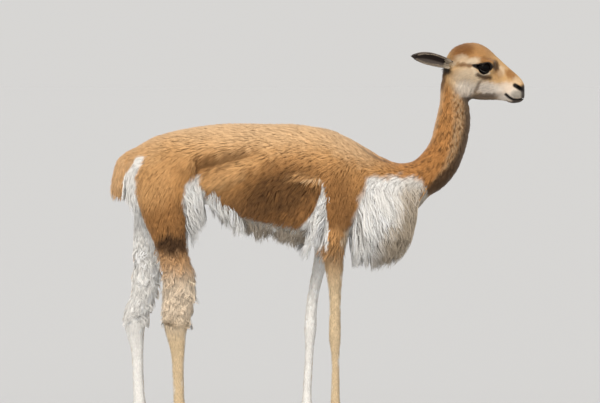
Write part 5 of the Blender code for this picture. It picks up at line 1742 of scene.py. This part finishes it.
def make_ears(materials):
    """Laid-back ears: a thin curled leaf with fur outside and long pale hair from its rim."""
    draw = np.random.default_rng(COAT_SEED + 2)
    fur = (materials["grey"], "coat_grey")
    for side, label in SIDES:
        root = mirrored(EAR_ROOT, side)
        axis = Vector((-0.90, side * 0.38, 0.20)).normalized()
        open_way = Vector((-0.38, side * 0.90, -0.12))
        open_way = (open_way - axis * open_way.dot(axis)).normalized()
        upwards = axis.cross(open_way) * -side

        def wall_point(t, v):
            """The point a share t along the ear and v across it, from -1 below to 1 above."""
            half = EAR_WIDTH / 2 * (0.38 + 0.62 * math.sin(math.pi * (0.10 + t * 0.80))) * (1 - t**8 * 0.86)
            depth = half * (0.90 - 0.40 * t)
            middle = root + axis * (EAR_LENGTH * t) - open_way * (0.010 * math.sin(math.pi * t) - 0.004)
            middle = middle - upwards * 0.002
            turn = math.radians(EAR_OPEN) * v
            return middle + upwards * half * math.sin(turn) - open_way * depth * math.cos(turn)

        def wall_points(t, v):
            return np.array([wall_point(min(max(a, 0.0), EAR_END), b) for a, b in zip(t, v)])

        bm = bmesh.new()
        bmesh.ops.create_grid(bm, x_segments=30, y_segments=20, size=1)
        for vert in bm.verts:
            vert.co = wall_point((vert.co.x + 1) / 2 * EAR_END, vert.co.y)
        ear = new_object(f"ear_cup_{label}", bm)
        if sum(polygon.normal.dot(open_way) for polygon in ear.data.polygons) < 0:
            ear.data.flip_normals()
        solid = ear.modifiers.new("Solidify", "SOLIDIFY")
        solid.thickness = EAR_WALL
        solid.offset = -1
        applied(ear)
        inner = soft(vertex_values(ear.data, "normal") @ np.array(open_way) - 0.1, 0.5)
        high = (vertex_values(ear.data) - np.array(root)) @ np.array(upwards) / EAR_WIDTH
        inner = inner * soft(high + 0.24, 0.14)
        store_coat(ear.data, mixed(EAR_GREY, EAR_DARK, inner), np.ones(len(inner)))
        dressed(ear, materials["ear"], "coat_grey", [f"ear_{label}"])

        # Short fur on the outside
        count = int(EAR_FUR * COAT_SHARE)
        t, v = draw.uniform(0.02, 0.97, count), draw.uniform(-0.97, 0.97, count)
        spots = wall_points(t, v)
        lie = unit(wall_points(t + 0.02, v) - spots)
        out = unit(np.cross(lie, wall_points(t, v + 0.03) - spots))
        core = np.array(root)[None] + np.array(axis)[None] * (t * EAR_LENGTH)[:, None]
        out = out * np.sign(((spots - core) * out).sum(1, keepdims=True))
        tone = mixed(EAR_GREY, LIP, draw.uniform(0.0, 0.6, count))
        tone = mixed(tone, EAR_DARK, soft(t - 0.82, 0.20))
        strands(
            f"ear_fur_{label}", spots + out * EAR_WALL * 0.6, out, lie, 0.010, 0.0013, 0.0014, draw,
            (0.0, 0.5, 1.0), 0, fur, clump=8, pull=0.2, sink=0.0008, softness=0.5, shade=0.12,
            colours=tone, depth_tone=0.5,
        )

        for part, amount, ends, across, long, spring, pale in EAR_HAIR:
            count = int(amount * COAT_SHARE)
            t, v = draw.uniform(*ends, count), draw.uniform(*across, count)
            spots = wall_points(t, v)
            lie = unit(wall_points(t + 0.02, v) - spots)
            rimward = unit(spots - wall_points(t, v * 0.85))
            away = np.tile(np.array(open_way), (count, 1))
            lie = unit(lie + rimward * 0.12 + away * draw.uniform(0, spring, (count, 1)))
            tone = mixed(CREAM, EAR_GREY * 0.9, draw.uniform(*pale, count))
            strands(
                f"ear_{part}_hair_{label}", spots + away * 0.0008, away, lie, long, 0.0012, 0.0030, draw,
                (0.0, 0.35, 0.7, 1.0), 0, fur, clump=7, pull=0.3, wave=0.0006, sink=0.0010, softness=0.4,
                colours=tone, depth_tone=0.5,
            )


def make_nails(material):
    """Two curved nails to a foot."""
    for name, rows, side in LEGS:
        for place, nail in toe_bodies(f"claw_{name}", NAIL, rows, side, 4, 2.4, 24):
            dressed(nail, material, "nail", [f"nail_{name}_{place}"])


def make_lashes(materials):
    """Upper and lower lashes."""
    draw = np.random.default_rng(COAT_SEED + 3)
    for side, label in SIDES:
        _, outwards, forward, up = eye_frame(side)
        roots, ways, outs, sizes = [], [], [], []
        for upper, count, long in LASHES:
            for k in range(count):
                turn = upper * math.pi * (0.06 + 0.88 * (k + draw.uniform(0, 1)) / count)
                roots.append(lid_point(side, turn, 0.0012))
                ways.append(outwards * 0.9 + forward * (math.cos(turn) * 0.5 + 0.2) - up * 0.25)
                outs.append(up * upper)
                sizes.append(long * draw.uniform(0.7, 1.1))
        strands(
            f"lashes_{label}", np.array(roots), unit(np.array(outs)), unit(np.array(ways)), np.array(sizes),
            0.0006, 0.0020, draw, (0, 0.33, 0.66, 1.0), 0, (materials["grey"], "coat_grey"), clump=4,
            pull=0.2, sink=0.0005, softness=0.2, colours=INK,
        )


def floor_and_light():
    """A pale floor, an even pale sky and four soft suns on the side of the camera."""
    bm = bmesh.new()
    bmesh.ops.create_circle(bm, cap_ends=True, radius=FLOOR_RADIUS, segments=96)
    floor = new_object("floor", bm)
    made, _, shader = new_material("floor_pale", tint(214, 210, 202))
    set_up(shader, Base_Color=FLOOR_COLOUR, Roughness=0.9)
    floor.data.materials.append(made)

    world = bpy.data.worlds.new("studio")
    world.use_nodes = True
    set_up(world.node_tree.nodes["Background"], Color=SKY_COLOUR, Strength=1.0)
    bpy.context.scene.world = world
    bpy.context.scene.view_settings.view_transform = "Standard"

    for name, way, power, angle, colour in LIGHTS:
        lamp = bpy.data.lights.new(name, "SUN")
        lamp.energy = power
        lamp.angle = math.radians(angle)
        lamp.color = colour
        added(name, lamp).rotation_euler = Vector(way).to_track_quat("Z", "Y").to_euler()


def camera():
    """A long lens at the animal's right side, a little above the middle of its body."""
    data = bpy.data.cameras.new("camera")
    data.sensor_width = SENSOR
    data.lens = SENSOR * CAMERA_DISTANCE / VIEW_WIDTH
    data.clip_start, data.clip_end = CAMERA_CLIP
    obj = added("camera", data)
    tilt = math.radians(CAMERA_ELEVATION)
    away = Vector((0, -math.cos(tilt), math.sin(tilt)))
    obj.location = Vector(VIEW_CENTRE) + away * CAMERA_DISTANCE
    obj.rotation_euler = away.to_track_quat("Z", "Y").to_euler()
    bpy.context.scene.camera = obj


def main():
    clear_start_scene()
    wool = wool_group()
    materials = {
        "skin": wool_material("undercoat", wool, ORANGE, shaded_root_tone=0.9, bump=0.7, mottle=0.3, sheen=0.04),
        "tan": wool_material("wool_tan", wool, TAN),
        "white": wool_material("wool_white", wool, WHITE, shaded_root_tone=0.70, mottle=0.08, sheen=0.15),
        "grey": wool_material("wool_grey", wool, EAR_GREY, mottle=0.2),
        "ear": wool_material("ear_skin", wool, EAR_DARK, shaded_root_tone=1.0, bump=0.5, mottle=0.35, sheen=0.1),
    }
    skin = make_skin()
    points = vertex_values(skin.data)
    # Painted shade on the skin deep under the coat: less under white hair, none on the head
    sunk = (0.08 + 0.35 * openness(points)) * (1 - 0.7 * white_share(points))
    sunk = sunk * soft(-beyond(points, HEAD_PLANE), 0.03)
    store_coat(skin.data, markings(points) * (1 - sunk)[:, None], np.ones(len(points)))
    flesh = [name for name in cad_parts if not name.startswith(("ear_", "eye_", "nail_"))]
    dressed(skin, materials["skin"], "coat_tan", flesh)
    ground = tufts_ground(skin)
    short_coat(ground, materials)
    long_coat(ground, materials)
    make_eyes(eye_material(), bare_material("lid_skin", INK, tint(48, 36, 30), 0.35, 500.0, 0.3))
    make_ears(materials)
    make_lashes(materials)
    make_nails(bare_material("horn", tint(44, 38, 34), tint(96, 84, 72), 0.42, 160.0, 0.35))
    floor_and_light()
    camera()


main()
